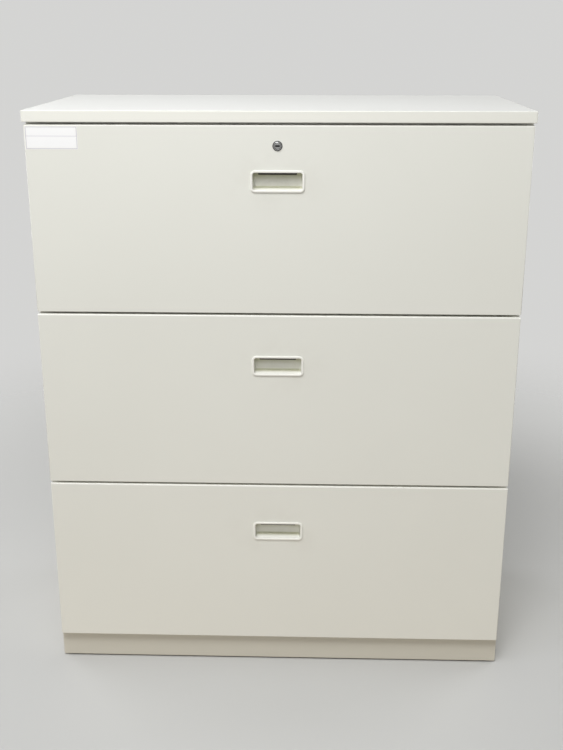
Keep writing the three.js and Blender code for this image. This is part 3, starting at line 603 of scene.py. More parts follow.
@dataclass
class Palette:
    """The finishes of the cabinet, each made once."""

    front_paint: Material = made(PowderCoat("front_powder_coat", handled=True))
    carcass_paint: Material = made(PowderCoat("carcass_powder_coat", roughness=0.44))
    # painted shade: a darker, browner copy of the white powder coat, for the plinth in the shade under the
    # drawers' overhang
    plinth_paint_shaded: Material = made(PowderCoat("plinth_powder_coat", (0.618, 0.600, 0.528),
                                             (0.585, 0.567, 0.495), (0.60, 0.58, 0.50), 0.48))
    laminate: Material = made(LaminateSheet())
    edge_tape: Material = made(EdgeTape())
    # the pull's cup gets its full painted shade
    pull: Material = made(Moulding("pull_moulding", painted_shade_amount=1.0))
    latch: Material = made(Moulding("latch_moulding", (0.022, 0.017, 0.013), (0.05, 0.042, 0.034),
                                    0.55, 1300.0, 0.5))
    zinc: Material = made(ZincPlate())
    nickel: Material = made(NickelPlate())
    foot: Material = made(FootFinish())
    label: Material = made(BlankLabel())
    rubber: Material = made(Rubber())


# ---- surfaces


@dataclass
class Shell:
    """Points in millimetres with the quads between them."""

    points: Array
    quads: Array

    @classmethod
    def from_grid(cls, grid: Array, loop_u: bool = False, loop_v: bool = False,
                  keep: Array | None = None) -> "Shell":
        """Joins neighbouring points of a grid with quads.

        Args:
            grid: points by row and column, shape (rows, columns, 3).
            loop_u: whether the last row joins the first.
            loop_v: whether the last column joins the first.
            keep: which quads stay, by row and column; all of them if left out.

        Returns:
            The shell.
        """
        rows, columns = grid.shape[:2]
        u = np.arange(rows if loop_u else rows - 1)[:, None]
        v = np.arange(columns if loop_v else columns - 1)[None, :]
        up, along = (u + 1) % rows, (v + 1) % columns
        quads = np.stack([u * columns + v, up * columns + v, up * columns + along, u * columns + along], -1)
        chosen = quads[keep] if keep is not None else quads.reshape(-1, 4)
        return cls(grid.reshape(-1, 3), chosen)

    def __add__(self, other: "Shell") -> "Shell":
        """Returns both shells as one."""
        return Shell(np.concatenate([self.points, other.points]),
                     np.concatenate([self.quads, other.quads + len(self.points)]))

    def repeated(self, shifts: Array) -> "Shell":
        """Copies the shell.

        Args:
            shifts: where the copies stand, shape (count, 3).

        Returns:
            The copies as one shell.
        """
        count = len(self.points)
        points = (self.points[None] + shifts[:, None]).reshape(-1, 3)
        quads = (self.quads[None] + count * np.arange(len(shifts))[:, None, None]).reshape(-1, 4)
        return Shell(points, quads)


@dataclass(frozen=True)
class Outline:
    """A rounded rectangle as corner centres and outward directions.

    A point is its corner centre plus (radius + offset) times its direction. Along a straight side the
    centre slides from one corner to the next while the direction stays.
    """

    half_u: float
    half_v: float
    radius: float
    stations: tuple[float, ...] = (0.0, 1.0)
    arc_steps: int = ARC_STEPS

    def loop(self, offset: float = 0.0) -> Array:
        """Works out the points of the outline.

        Args:
            offset: distance outwards from the outline.

        Returns:
            The points, shape (count, 2), starting at the right-hand end of the upper right corner.
        """
        signs = np.array([[1.0, 1.0], [-1.0, 1.0], [-1.0, -1.0], [1.0, -1.0]])
        corners = signs * (self.half_u - self.radius, self.half_v - self.radius)
        quarter = np.linspace(0.0, 0.5 * np.pi, self.arc_steps + 1)
        angles = quarter[None] + 0.5 * np.pi * np.arange(4)[:, None]
        arc_ways = np.stack([np.cos(angles), np.sin(angles)], -1)
        arc_centres = np.broadcast_to(corners[:, None], arc_ways.shape)
        inner = np.array(self.stations[1:-1])[None, :, None]
        run_centres = corners[:, None] + (np.roll(corners, -1, 0) - corners)[:, None] * inner
        run_ways = np.broadcast_to(arc_ways[:, -1:], run_centres.shape)
        centres = np.concatenate([arc_centres, run_centres], 1).reshape(-1, 2)
        ways = np.concatenate([arc_ways, run_ways], 1).reshape(-1, 2)
        return centres + (self.radius + offset) * ways

    def carried(self, profile: Array) -> tuple[Array, Array]:
        """Carries a profile round the outline.

        Args:
            profile: offsets and levels, shape (rows, 2).

        Returns:
            The loops, shape (rows, count, 2), and their levels.
        """
        return np.stack([self.loop(offset) for offset in profile[:, 0]]), profile[:, 1]


def stacked(loops: Array, levels: Array, origin: Triple, plane: Plane) -> Array:
    """Stands flat loops at their levels in space.

    Args:
        loops: points in the plane, shape (rows, count, 2).
        levels: one level per row, along the plane's normal.
        origin: where the plane's middle lies.
        plane: the axes that take the loops' two directions and the level.

    Returns:
        A grid of points, shape (rows, count, 3).
    """
    u, v, across = plane.value
    grid = np.empty((*loops.shape[:2], 3))
    grid[..., u] = loops[..., 0] + origin[u]
    grid[..., v] = loops[..., 1] + origin[v]
    grid[..., across] = np.asarray(levels)[:, None] + origin[across]
    return grid


def quarter_turn(centre: Pair, radius: float, start: float, steps: int = 5) -> Array:
    """Works out a quarter circle.

    Args:
        centre: its centre.
        radius: its radius.
        start: the angle of its first point in degrees; it turns anticlockwise.
        steps: how many parts it has.

    Returns:
        Points, shape (steps + 1, 2): centre + radius * (cos, sin).
    """
    angle = np.radians(start) + np.linspace(0.0, 0.5 * np.pi, steps + 1)
    return np.array(centre) + radius * np.stack([np.cos(angle), np.sin(angle)], -1)


def lofted(rows: list[tuple[Array, float]], origin: Triple) -> Shell:
    """Joins loops that stand one behind the other, seen from the front.

    Args:
        rows: each loop, shape (count, 2), with its level; one of zeros closes an end in a point.
        origin: where the loops' middle lies at level 0.

    Returns:
        The shell.
    """
    loops, levels = zip(*rows)
    return Shell.from_grid(stacked(np.stack(loops), np.array(levels), origin, Plane.FRONT), False, True)


def both_sides(half: float, heights: tuple[float, ...] | Array) -> Array:
    """Returns shifts to the given heights, first half to the left and then half to the right."""
    return np.array([[x, 0.0, height] for x in (-half, half) for height in heights])


def revolved(profile: Array, centre: Triple, steps: int, closed: bool = False) -> Shell:
    """Turns a profile about an axis along Y.

    Args:
        profile: radii and distances along the axis, shape (rows, 2).
        centre: the axis's point at distance 0.
        steps: parts of the full turn.
        closed: whether the profile's last point joins its first.

    Returns:
        The shell of points centre + (radius cos, along, radius sin).
    """
    angle = np.linspace(0.0, 2.0 * np.pi, steps, endpoint=False)[None]
    radius, along = profile[:, 0][:, None], profile[:, 1][:, None]
    grid = np.stack([radius * np.cos(angle), along + 0.0 * angle, radius * np.sin(angle)], -1)
    return Shell.from_grid(grid + np.array(centre), closed, True)


def rounded_box(low: Triple, high: Triple, radius: float) -> Shell:
    """Makes a box with round edges and corners.

    A point q on the plain box goes to c + radius (q - c) / |q - c|, where c is the nearest point of the
    box shrunk by the radius. The grid lines in the rounding lie at radius times the tangent of even angles.

    Args:
        low: lowest corner.
        high: highest corner.
        radius: of the edges.

    Returns:
        The closed shell.
    """
    inner = np.array([low, high]) + radius * np.array([[1.0], [-1.0]])
    rounding = radius * np.tan(np.linspace(0.0, 0.25 * np.pi, BOX_ROUNDING_STEPS + 1))
    lines = [np.concatenate([start - rounding[::-1], end + rounding]) for start, end in inner.T]
    box = None
    for axis in range(3):
        across, up = (axis + 1) % 3, (axis + 2) % 3
        for level in (low[axis], high[axis]):
            grid = np.empty((len(lines[across]), len(lines[up]), 3))
            grid[..., axis] = level
            grid[..., across] = lines[across][:, None]
            grid[..., up] = lines[up][None]
            nearest = np.clip(grid, inner[0], inner[1])
            out = grid - nearest
            face = Shell.from_grid(nearest + radius * out / np.linalg.norm(out, axis=-1, keepdims=True))
            box = face if box is None else box + face
    return box


def bent_strip(path: Array, left: float, right: float, thickness: float) -> Shell:
    """Makes a flat strip that follows a path in the Y-Z plane.

    The rectangle from left to right and half the thickness to each side of the path is carried along it.

    Args:
        path: points (y, z), shape (count, 2).
        left: lower X of the strip.
        right: upper X.
        thickness: across the path.

    Returns:
        The closed shell.
    """
    along = np.gradient(path, axis=0)
    normal = np.stack([-along[:, 1], along[:, 0]], -1)
    normal *= 0.5 * thickness / np.linalg.norm(normal, axis=-1, keepdims=True)
    sides = np.stack([path + normal, path + normal, path - normal, path - normal], 1)
    x = np.broadcast_to(np.array([left, right, right, left])[None, :, None], (*sides.shape[:2], 1))
    grid = np.concatenate([x, sides], -1)
    ends = Shell(grid[[0, -1]].reshape(-1, 3), np.array([[0, 1, 2, 3], [4, 5, 6, 7]]))
    return Shell.from_grid(grid, False, True) + ends


def make_piece(name: str, shell: Shell, material: Material, crease: float = 32.0) -> bpy.types.Object:
    """Puts a shell into a mesh object at the origin.

    Args:
        name: of the piece.
        shell: its closed surface.
        material: its finish.
        crease: edges sharper than this angle in degrees stay sharp.

    Returns:
        The object, with doubled points merged and its faces turned outwards.
    """
    mesh = bpy.data.meshes.new(name)
    mesh.from_pydata((shell.points * MM).tolist(), [], shell.quads.tolist())
    work = bmesh.new()
    work.from_mesh(mesh)
    bmesh.ops.remove_doubles(work, verts=work.verts, dist=MERGE_DISTANCE)
    bmesh.ops.dissolve_degenerate(work, edges=work.edges, dist=SLIVER_LENGTH)
    bmesh.ops.recalc_face_normals(work, faces=work.faces)
    work.to_mesh(mesh)
    work.free()
    mesh.shade_smooth()
    mesh.set_sharp_from_angle(angle=math.radians(crease))
    mesh.materials.append(material)
    piece = bpy.data.objects.new(name, mesh)
    bpy.context.scene.collection.objects.link(piece)
    return piece


def fit_piece(piece: bpy.types.Object, body: str, slot: Slot, *nodes: str) -> None:
    """Hands a piece to its body and hides the CAD nodes that it stands for.

    Args:
        piece: the new piece.
        body: the CAD body that it moves with.
        slot: the record's slot of its finish; not used.
        nodes: CAD nodes that it stands for.
    """
    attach(piece, body)
    if nodes:
        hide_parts(*nodes)
    log.info("%s: %d faces, on %s", piece.name, len(piece.data.polygons), body)


def dress(material: Material, *nodes: str) -> None:
    """Gives CAD nodes a finish.

    Args:
        material: the finish.
        nodes: names of the nodes.
    """
    for name in nodes:
        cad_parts[name].material_slots[0].material = material
        log.info("%s: dressed in %s", name, material.name)


def front_bottom(number: int) -> float:
    """Returns the height of the lower edge of a drawer's front."""
    return LOWEST_FRONT + FRONT_PITCH * (len(DRAWERS) - number)


def pull_middle(number: int) -> float:
    """Returns the height of the middle of a drawer's pull."""
    return front_bottom(number) + PULL_ABOVE_EDGE


def corner_nodes(kind: str) -> list[str]:
    """Returns the names of the four nodes of a kind, one near each corner of the cabinet."""
    return [f"{end.value}_{side.value}_{kind}" for end in End for side in Side]


# ---- sub-assemblies


@dataclass
class Worktop:
    """The laminated board and the band round its edge."""

    palette: Palette
    half_width: float = 450.0
    half_depth: float = 225.0
    low: float = WORKTOP_LOW
    high: float = WORKTOP_HIGH
    band: float = 2.0
    corner: float = 2.0
    arris: float = 1.1
    support: float = 0.5

    def band_shell(self) -> Shell:
        """Carries the band's section, two rounded outer arrises and a flat back, round the board.

        Returns:
            The closed shell.
        """
        r = self.arris
        lower = quarter_turn((-r, self.low + r), r, -90.0)
        upper = quarter_turn((-r, self.high - r), r, 0.0)
        flat = np.array([[0.0, self.low + r + self.support], [0.0, self.high - r - self.support]])
        inner = np.array([[-self.band, self.high], [-self.band, self.low]])
        profile = np.concatenate([lower, flat, upper, inner])
        outline = Outline(self.half_width, self.half_depth, self.corner)
        loops, levels = outline.carried(profile)
        return Shell.from_grid(stacked(loops, levels, (0.0, 0.0, 0.0), Plane.PLAN), True, True)

    def build(self) -> None:
        """Makes the band and dresses the board."""
        band = make_piece("worktop_band", self.band_shell(), self.palette.edge_tape)
        fit_piece(band, "cabinet", Slot.EDGE_BAND, "worktop_edge_band")
        dress(self.palette.laminate, "worktop_board")


@dataclass
class DrawerFront:
    """A folded steel pan with round edges and a window for the pull."""

    palette: Palette
    number: int
    half_width: float = 447.5
    depth: float = 20.0
    edge: float = 3.0
    side_share: float = 0.5
    foot_share: float = 0.3
    sheet: float = 1.0
    window: Pair = (45.8, 17.0)
    window_corner: float = 4.0
    plate: Triple = (60.0, 45.0, 156.0)
    plate_corner: float = 8.0
    lock_hole: float = 8.1
    support: float = 0.8
    stations: tuple[float, ...] = (0.0, 0.35, 0.65, 1.0)
    fan: int = 8

    def tightened(self, loops: Array, insets: Array) -> Array:
        """Scales the insets of loops by one share at the sides and by another at the foot.

        Args:
            loops: loops round the middle of the front.
            insets: how far each loop lies inside the outline.

        Returns:
            The loops, with the rounding of the top edge left as it is.
        """
        sides = np.sign(loops[..., 0]) * insets[:, None] * (1.0 - self.side_share)
        foot = np.where(loops[..., 1] < 0.0, -1.0, 0.0) * insets[:, None] * (1.0 - self.foot_share)
        return loops + np.stack([sides, foot], -1)

    def pan_shell(self) -> Shell:
        """Carries the pan's section round its outline, from the window's edge and back to it.

        The outside runs from the window over a plate round window and lock, the face, a quarter circle and
        the return; the inside comes back one sheet further in. In the top drawer the quad over the window is
        left out on both skins. Each quarter of the lock's circle fans out to one corner of that quad instead,
        and a wall joins the two circles.

        Returns:
            The closed shell.
        """
        r, t, half = self.edge, self.sheet, 0.5 * FRONT_HEIGHT
        flat = r + self.support
        outline = Outline(self.half_width, half, r, self.stations)
        face = Outline(self.half_width - self.support, half - self.support, r, self.stations)
        hole = Outline(*self.window, self.window_corner, self.stations).loop()
        hole = hole + np.array([0.0, PULL_ABOVE_EDGE - half])
        wide, low, high = self.plate
        patch = Outline(wide, 0.5 * (high - low), self.plate_corner, self.stations).loop()
        patch = patch + np.array([0.0, 0.5 * (high + low)])
        outside = np.concatenate([quarter_turn((-r, r), r, -90.0), [[0.0, flat], [0.0, self.depth]]])
        bend = quarter_turn((-r, r), r - t, -90.0)[::-1]
        inside = np.concatenate([[[-t, self.depth], [-t, flat]], bend])
        out_loops, out_levels = outline.carried(outside)
        in_loops, in_levels = outline.carried(inside)
        out_loops = self.tightened(out_loops, -outside[:, 0])
        in_loops = self.tightened(in_loops, -inside[:, 0])
        rim = self.tightened(face.loop(-r)[None], np.array([flat]))[0]
        loops = np.concatenate([[hole, patch, rim], out_loops, in_loops, [rim, patch, hole]])
        levels = np.concatenate([[0.0, 0.0, 0.0], out_levels, in_levels, [t, t, t]])
        origin = (0.0, FACE_Y, front_bottom(self.number) + half)
        grid = stacked(loops, levels, origin, Plane.FRONT)
        if self.number != DRAWERS[0]:
            return Shell.from_grid(grid, True, True)
        near = ARC_STEPS + 1
        far = near + 1
        keep = np.ones(grid.shape[:2], bool)
        keep[[0, -2], near] = False
        turn = (np.arange(4 * self.fan) + 0.5) * np.pi / (2 * self.fan)
        circle = self.lock_hole * np.stack([np.cos(turn), np.sin(turn)], -1)
        circle = circle + np.array([0.0, LOCK_Z - origin[2]])
        corners = np.repeat(np.stack([patch[near], patch[far], hole[far], hole[near]]), self.fan, 0)
        lock_ring = lofted([(corners, 0.0), (circle, 0.0), (circle, t), (corners, t)], origin)
        return Shell.from_grid(grid, True, True, keep) + lock_ring

    def build(self) -> None:
        """Makes the pan and dresses the liner behind it."""
        pan = make_piece(f"front_pan_{self.number}", self.pan_shell(), self.palette.front_paint)
        fit_piece(pan, f"drawer_{self.number}", Slot.PAINT, f"drawer_front_{self.number}")
        dress(self.palette.carcass_paint, f"front_liner_{self.number}")


@dataclass
class Label:
    """The bare label in the top left corner of the top drawer."""

    palette: Palette
    finish: BlankLabel = field(default_factory=BlankLabel)
    corner: float = 1.2
    thickness: float = 0.14

    def build(self) -> None:
        """Lays a thin rounded sheet on the front: loops of the outline at the back, the face and a point."""
        outline = Outline(*self.finish.half, self.corner, arc_steps=5)
        edge, face = outline.loop(), -self.thickness
        point = 0.0 * edge
        rows = [(point, 0.0), (edge, 0.0), (edge, -0.08), (outline.loop(-0.06), face), (point, face)]
        shell = lofted(rows, (self.finish.middle[0], FACE_Y - SKIN_GAP, self.finish.middle[1]))
        label = make_piece("blank_label", shell, self.palette.label, 30.0)
        fit_piece(label, "drawer_1", Slot.PAINT)


@dataclass
class Pull:
    """A moulded cup with a raised rim, a floor that climbs to the back and a slot for the finger latch."""

    palette: Palette
    number: int
    mouth: Pair = (44.3, 15.2)
    mouth_corner: float = 4.0
    rim_width: float = 4.4
    rim_rise: float = 2.2
    wall: float = 1.2
    lip: float = 2.8
    pocket: float = 23.2
    scoop: float = 1.0
    sill: float = 1.0
    climb: float = 3.8
    depth: float = 17.0
    fillet: float = 6.0
    roof_drop: float = 3.0
    corner_gain: float = 2.0
    slot_half: float = 35.0
    slot_back: float = 11.0
    slot_rows: int = 6
    rim_base: float = 0.8
    rim_power: float = 2.7
    undercut: float = 1.2
    seat: float = 0.06

    def cup_rows(self, grow: float, stations: tuple[float, ...]) -> tuple[Array, Array]:
        """Works out one skin of the cup, from its mouth to the middle of its back.

        Each row is a rounded rectangle at one depth. The floor starts below the sill, climbs evenly and then
        turns up in a quarter circle, the sides and the ceiling end in fillets, and the last rows shrink to a
        point.

        Args:
            grow: thickness added outwards.
            stations: where points lie along the straight sides.

        Returns:
            The loops and their depths.
        """
        wide, tall = self.mouth
        start = self.depth - self.scoop
        level = np.append(np.linspace(self.lip + 0.2, self.slot_back, self.slot_rows),
                          np.linspace(self.slot_back, start, 6)[1:-1])
        turn = np.linspace(0.0, 0.5 * np.pi, 11)
        inner_y = np.concatenate([level, start + self.scoop * np.sin(turn)])
        y = np.concatenate([level, start + (self.scoop + grow) * np.sin(turn)])
        round_up = np.minimum(self.scoop + grow - 0.3, (self.scoop + grow) * (1.0 - np.cos(turn)))
        slope = self.climb * (level - level[0]) / (start - level[0])
        rise = np.concatenate([slope, self.climb + round_up]) - self.sill
        past = np.clip((inner_y - self.depth + self.fillet) / self.fillet, 0.0, 1.0)
        half = wide + grow - self.fillet * (1.0 - np.sqrt(1.0 - past ** 2))
        roof = self.pocket + grow - self.roof_drop * (1.0 - np.sqrt(1.0 - past ** 4))
        corner = self.mouth_corner + grow + self.corner_gain * past
        front = self.lip - grow
        rows = [(front, wide + grow, -tall - grow, tall + grow, self.mouth_corner + grow),
                (front, wide + grow, -tall - grow - self.sill, self.pocket + grow, self.mouth_corner + grow)]
        rows += list(zip(y, half, rise - tall - grow, roof, corner))
        depth, last_half, last_floor, last_roof, last_corner = rows[-1]
        reach, middle = 0.5 * (last_roof - last_floor), 0.5 * (last_roof + last_floor)
        for share in (0.5, 0.0):
            low, top = middle - reach * share, middle + reach * share
            rows.append((depth, last_half * share, low, top, last_corner * share))
        loops = [Outline(hx, 0.5 * (top - low), r, stations).loop() + np.array([0.0, 0.5 * (top + low)])
                 for _, hx, low, top, r in rows]
        return np.stack(loops), np.array([row[0] for row in rows])

    def rim_profile(self) -> Array:
        """Works out the rim's section outside the mouth: a flattened half oval over a flat foot.

        Returns:
            Offsets from the mouth and depths, from the mouth's inner edge round to the foot's inner end.
        """
        angle = np.linspace(np.pi, 0.0, 13)
        half = 0.5 * self.rim_width
        flat = 2.0 / self.rim_power
        across = half + half * np.sign(np.cos(angle)) * np.abs(np.cos(angle)) ** flat
        up = -self.rim_base - (self.rim_rise - self.rim_base) * np.abs(np.sin(angle)) ** flat
        foot = np.array([[self.rim_width - self.undercut, -self.seat], [self.wall, -self.seat]])
        return np.concatenate([np.stack([across, up], -1), foot])

    def shell(self) -> Shell:
        """Joins the inner skin, the rim and the outer skin, and cuts the latch's slot through both skins.

        Returns:
            The closed shell.
        """
        run = self.mouth[0] - self.mouth_corner
        share = 0.5 * (run - self.slot_half) / run
        stations = (0.0, share, 0.3, 0.5, 0.7, 1.0 - share, 1.0)
        origin = (0.0, FACE_Y, pull_middle(self.number))
        inner = stacked(*self.cup_rows(0.0, stations), origin, Plane.FRONT)
        outer = stacked(*self.cup_rows(self.wall, stations), origin, Plane.FRONT)
        outline = Outline(*self.mouth, self.mouth_corner, stations)
        rim = stacked(*outline.carried(self.rim_profile()), origin, Plane.FRONT)
        keep = np.ones((inner.shape[0] - 1, inner.shape[1]), bool)
        rows = slice(2, 2 + self.slot_rows)
        columns = slice(ARC_STEPS + 1, ARC_STEPS + len(stations) - 1)
        keep[rows, columns][:-1, :-1] = False
        edges = np.stack([inner[rows, columns], outer[rows, columns]])
        body = Shell.from_grid(np.concatenate([inner[:1], rim, outer[:1]]), False, True)
        body += Shell.from_grid(inner, False, True, keep) + Shell.from_grid(outer, False, True, keep)
        for wall in (edges[:, 0], edges[:, -1], edges[:, :, 0], edges[:, :, -1]):
            body += Shell.from_grid(wall)
        return body

    def build(self) -> None:
        """Makes the pull."""
        pull = make_piece(f"pull_cup_{self.number}", self.shell(), self.palette.pull, 40.0)
        fit_piece(pull, f"drawer_{self.number}", Slot.PULL, f"pull_{self.number}")


@dataclass
class FingerLatch:
    """The dark finger pad behind the pull's upper lip, and the steel hook that it lifts."""

    palette: Palette
    number: int
    pad_half: float = 34.5
    pad_front: float = 3.3
    pad_back: float = 10.7
    pad_low: float = 11.1
    pad_high: float = 31.2
    rod: Pair = (24.5, 34.5)
    rod_y: float = 9.7
    arm_above_edge: float = 325.4
    tip_y: float = 26.7
    tip_above_edge: float = 317.2
    thickness: float = 2.0
    bend: float = 3.0
    overlap: float = 1.5
    pad_round: float = 1.3

    def hook_path(self) -> Array:
        """Works out the hook's path: up behind the pad, back over the rail and down to its tip.

        Returns:
            Points (y, z), with a quarter circle at each bend.
        """
        bottom, r = front_bottom(self.number), self.bend
        low = pull_middle(self.number) + self.pad_high - self.overlap
        top = bottom + self.arm_above_edge
        straight = top - (r + 1.0)
        near, far = FACE_Y + self.rod_y, FACE_Y + self.tip_y
        rise = np.stack([np.full(4, near), np.linspace(low, straight, 4)], -1)
        first = quarter_turn((near + r, top - r), r, 90.0)[::-1]
        second = quarter_turn((far - r, top - r), r, 0.0)[::-1]
        fall = np.array([[far, straight], [far, bottom + self.tip_above_edge]])
        return np.concatenate([rise, first, second, fall])

    def build(self) -> None:
        """Makes the pad with round edges and the bent hook."""
        middle = pull_middle(self.number)
        low = (-self.pad_half, FACE_Y + self.pad_front, middle + self.pad_low)
        high = (self.pad_half, FACE_Y + self.pad_back, middle + self.pad_high)
        block = rounded_box(low, high, self.pad_round)
        pad = make_piece(f"latch_pad_{self.number}", block, self.palette.latch)
        fit_piece(pad, f"latch_{self.number}", Slot.LATCH, f"finger_latch_{self.number}")
        hook = bent_strip(self.hook_path(), *self.rod, self.thickness)
        rod = make_piece(f"latch_hook_{self.number}", hook, self.palette.zinc)
        fit_piece(rod, f"latch_{self.number}", Slot.ZINC)


@dataclass
class CamLock:
    """The lock in the top drawer: a domed face ring, a barrel, the plug with its keyway and the cam."""

    palette: Palette
    face_radius: float = 8.9
    dome_radius: float = 7.6
    barrel: float = 7.8
    bore: float = 6.0
    length: float = 16.0
    rise: float = 2.4
    plug: float = 5.7
    plug_end: float = 20.1
    keyway: Pair = (3.9, 1.25)
    eye: float = 6.25
    flange: float = 1.0
    thread_points: int = 25
    thread_depth: float = 0.35
    tail: float = 2.3
    tail_length: float = 2.2

    def housing_shell(self) -> Shell:
        """Turns the ring's section: a domed face, a flat flange, a threaded barrel and the bore.

        The thread is a saw of 1.2 mm pitch and 0.35 mm depth along the barrel.

        Returns:
            The closed shell.
        """
        dome = np.linspace(0.0, 0.5 * np.pi, 9)
        across = self.eye + (self.dome_radius - self.eye) * np.sin(dome)
        up = -self.flange - (self.rise - self.flange) * np.cos(dome)
        front = np.stack([across, up], -1)
        brim = quarter_turn((self.face_radius - 0.5, -0.4), 0.5, -90.0, 4)
        edge = np.array([[self.face_radius - 0.25, -0.05], [self.barrel, -0.05]])
        along = np.linspace(1.6, self.length - 0.4, self.thread_points)
        ridges = self.barrel - self.thread_depth * (np.arange(self.thread_points) % 2)
        thread = np.stack([ridges, along], -1)
        back = np.array([[self.barrel - 0.6, self.length], [self.bore, self.length], [self.bore, -1.9],
                         [self.bore + 0.25, -self.rise + 0.12]])
        return revolved(np.concatenate([front, brim, edge, thread, back]), (0.0, FACE_Y, LOCK_Z), 56, True)

    def plug_shell(self) -> Shell:
        """Joins the keyway's walls, a slightly domed face, the plug's side and its square tail.

        Every row has as many points as the keyway's outline, so a circle is a rounded square whose corner
        radius is its half width.

        Returns:
            The closed shell.
        """
        slot = Outline(*self.keyway, 0.7)
        rows = [(0.0 * slot.loop(), 6.0), (slot.loop(), 6.0), (slot.loop(), -1.95), (slot.loop(0.15), -2.1)]
        end, tip = self.plug_end, self.plug_end + self.tail_length
        for radius, level in ((self.keyway[0] + 0.2, -2.05), (5.2, -1.9), (self.plug - 0.1, -1.7),
                              (self.plug, -1.5), (self.plug, end)):
            rows.append((Outline(radius, radius, radius).loop(), level))
        eighth_turn = math.sqrt(0.5) * np.array([[1.0, 1.0], [-1.0, 1.0]])
        tail = Outline(self.tail, self.tail, 0.4).loop() @ eighth_turn
        rows += [(tail, end), (tail, tip), (0.0 * tail, tip)]
        return lofted(rows, (0.0, FACE_Y, LOCK_Z))

    def build(self) -> None:
        """Makes the housing and the plug, and dresses the cam and the rest of the locking train."""
        housing = make_piece("lock_face_ring", self.housing_shell(), self.palette.nickel, 28.0)
        fit_piece(housing, "drawer_1", Slot.LOCK, "lock_housing")
        plug = make_piece("lock_key_plug", self.plug_shell(), self.palette.nickel, 28.0)
        fit_piece(plug, "lock_barrel", Slot.LOCK, "lock_plug")
        dress(self.palette.zinc, "lock_cam", "lock_slider", "lock_bar")


@dataclass
class DrawerBox:
    """A drawer's tray on its telescopic runners, and the buffers behind its front."""

    palette: Palette
    number: int
    buffer_x: float = 434.0
    buffer_radius: float = 5.0
    buffer_height: float = 1.7
    buffer_round: float = 1.2
    buffer_rows: Pair = (30.0, 305.0)
    liner_back: float = 20.0

    def build(self) -> None:
        """Dresses the tray and runners, and makes four domed rubber buffers on the back of the liner."""
        dress(self.palette.carcass_paint, f"drawer_tray_{self.number}")
        for side in Side:
            members = (f"{part}_runner_{self.number}_{side.value}" for part in ("outer", "middle", "inner"))
            dress(self.palette.zinc, *members)
        radius, height, r = self.buffer_radius, self.buffer_height, self.buffer_round
        dome = quarter_turn((radius - r, height - r), r, 0.0, 4)
        profile = np.concatenate([[[0.0, 0.0], [radius, 0.0]], dome, [[0.0, height]]])
        centre = (0.0, FACE_Y + self.liner_back + SKIN_GAP, front_bottom(self.number))
        shell = revolved(profile, centre, 20).repeated(both_sides(self.buffer_x, self.buffer_rows))
        buffers = make_piece(f"buffers_{self.number}", shell, self.palette.rubber)
        fit_piece(buffers, f"drawer_{self.number}", Slot.FOOT)


@dataclass
class Carcass:
    """The steel shell of the cabinet, its uprights and cross rails, and the rivets at its back."""

    palette: Palette
    rivet_x: float = 439.0
    rivet_face: float = 224.0
    rivet_radius: float = 3.2
    rivet_rise: float = 0.85
    rivet_low: float = 110.0
    rivet_high: float = 1050.0
    rivet_count: int = 8

    def build(self) -> None:
        """Dresses the panels and makes domed rivets, a quarter oval turned about Y, along the rear edges."""
        panels = ("left_side_panel", "right_side_panel", "top_panel", "bottom_panel", "back_panel")
        rails = tuple(f"cross_rail_{number}" for number in DRAWERS)
        dress(self.palette.carcass_paint, *panels, *rails, *corner_nodes("upright"))
        angle = np.linspace(0.0, 0.5 * np.pi, 5)
        dome = np.stack([self.rivet_radius * np.cos(angle), self.rivet_rise * np.sin(angle)], -1)
        profile = np.concatenate([[[0.0, 0.0]], dome])
        heights = np.linspace(self.rivet_low, self.rivet_high, self.rivet_count)
        centre = (0.0, self.rivet_face + SKIN_GAP, 0.0)
        shell = revolved(profile, centre, 14).repeated(both_sides(self.rivet_x, heights))
        rivets = make_piece("rear_rivets", shell, self.palette.zinc)
        fit_piece(rivets, "cabinet", Slot.ZINC)


@dataclass
class Plinth:
    """The plinth frame and its levelling feet."""

    palette: Palette

    def build(self) -> None:
        """Dresses the rails and the feet."""
        # the rails get the darker copy of the powder coat, which is painted shade
        dress(self.palette.plinth_paint_shaded, *(f"plinth_{place.value}_rail" for place in (*End, *Side)))
        dress(self.palette.foot, *corner_nodes("foot"))


# ---- studio


def set_up(name: str, data: bpy.types.ID, place: Triple, ahead: Vector) -> bpy.types.Object:
    """Adds a lamp or a camera to the scene.

    Args:
        name: of the object.
        data: the lamp or the camera.
        place: where it stands, in metres.
        ahead: the way that it looks.

    Returns:
        The object.
    """
    stand = bpy.data.objects.new(name, data)
    stand.location = place
    stand.rotation_euler = ahead.to_track_quat("-Z", "Y").to_euler()
    bpy.context.scene.collection.objects.link(stand)
    return stand


@dataclass(frozen=True)
class SoftBox:
    """A rectangular lamp that looks at a point."""

    name: str
    place: Triple
    target: Triple
    size: Pair
    power: float
    colour: Colour = (1.0, 1.0, 1.0)
    mirrored: bool = True

    def build(self) -> None:
        """Hangs the lamp, which polished pieces mirror unless it is a plain fill."""
        lamp = bpy.data.lights.new(self.name, "AREA")
        lamp.shape = "RECTANGLE"
        lamp.size, lamp.size_y = self.size
        lamp.energy = self.power
        lamp.color = self.colour
        stand = set_up(self.name, lamp, self.place, Vector(self.target) - Vector(self.place))
        stand.visible_camera = False
        stand.visible_glossy = self.mirrored


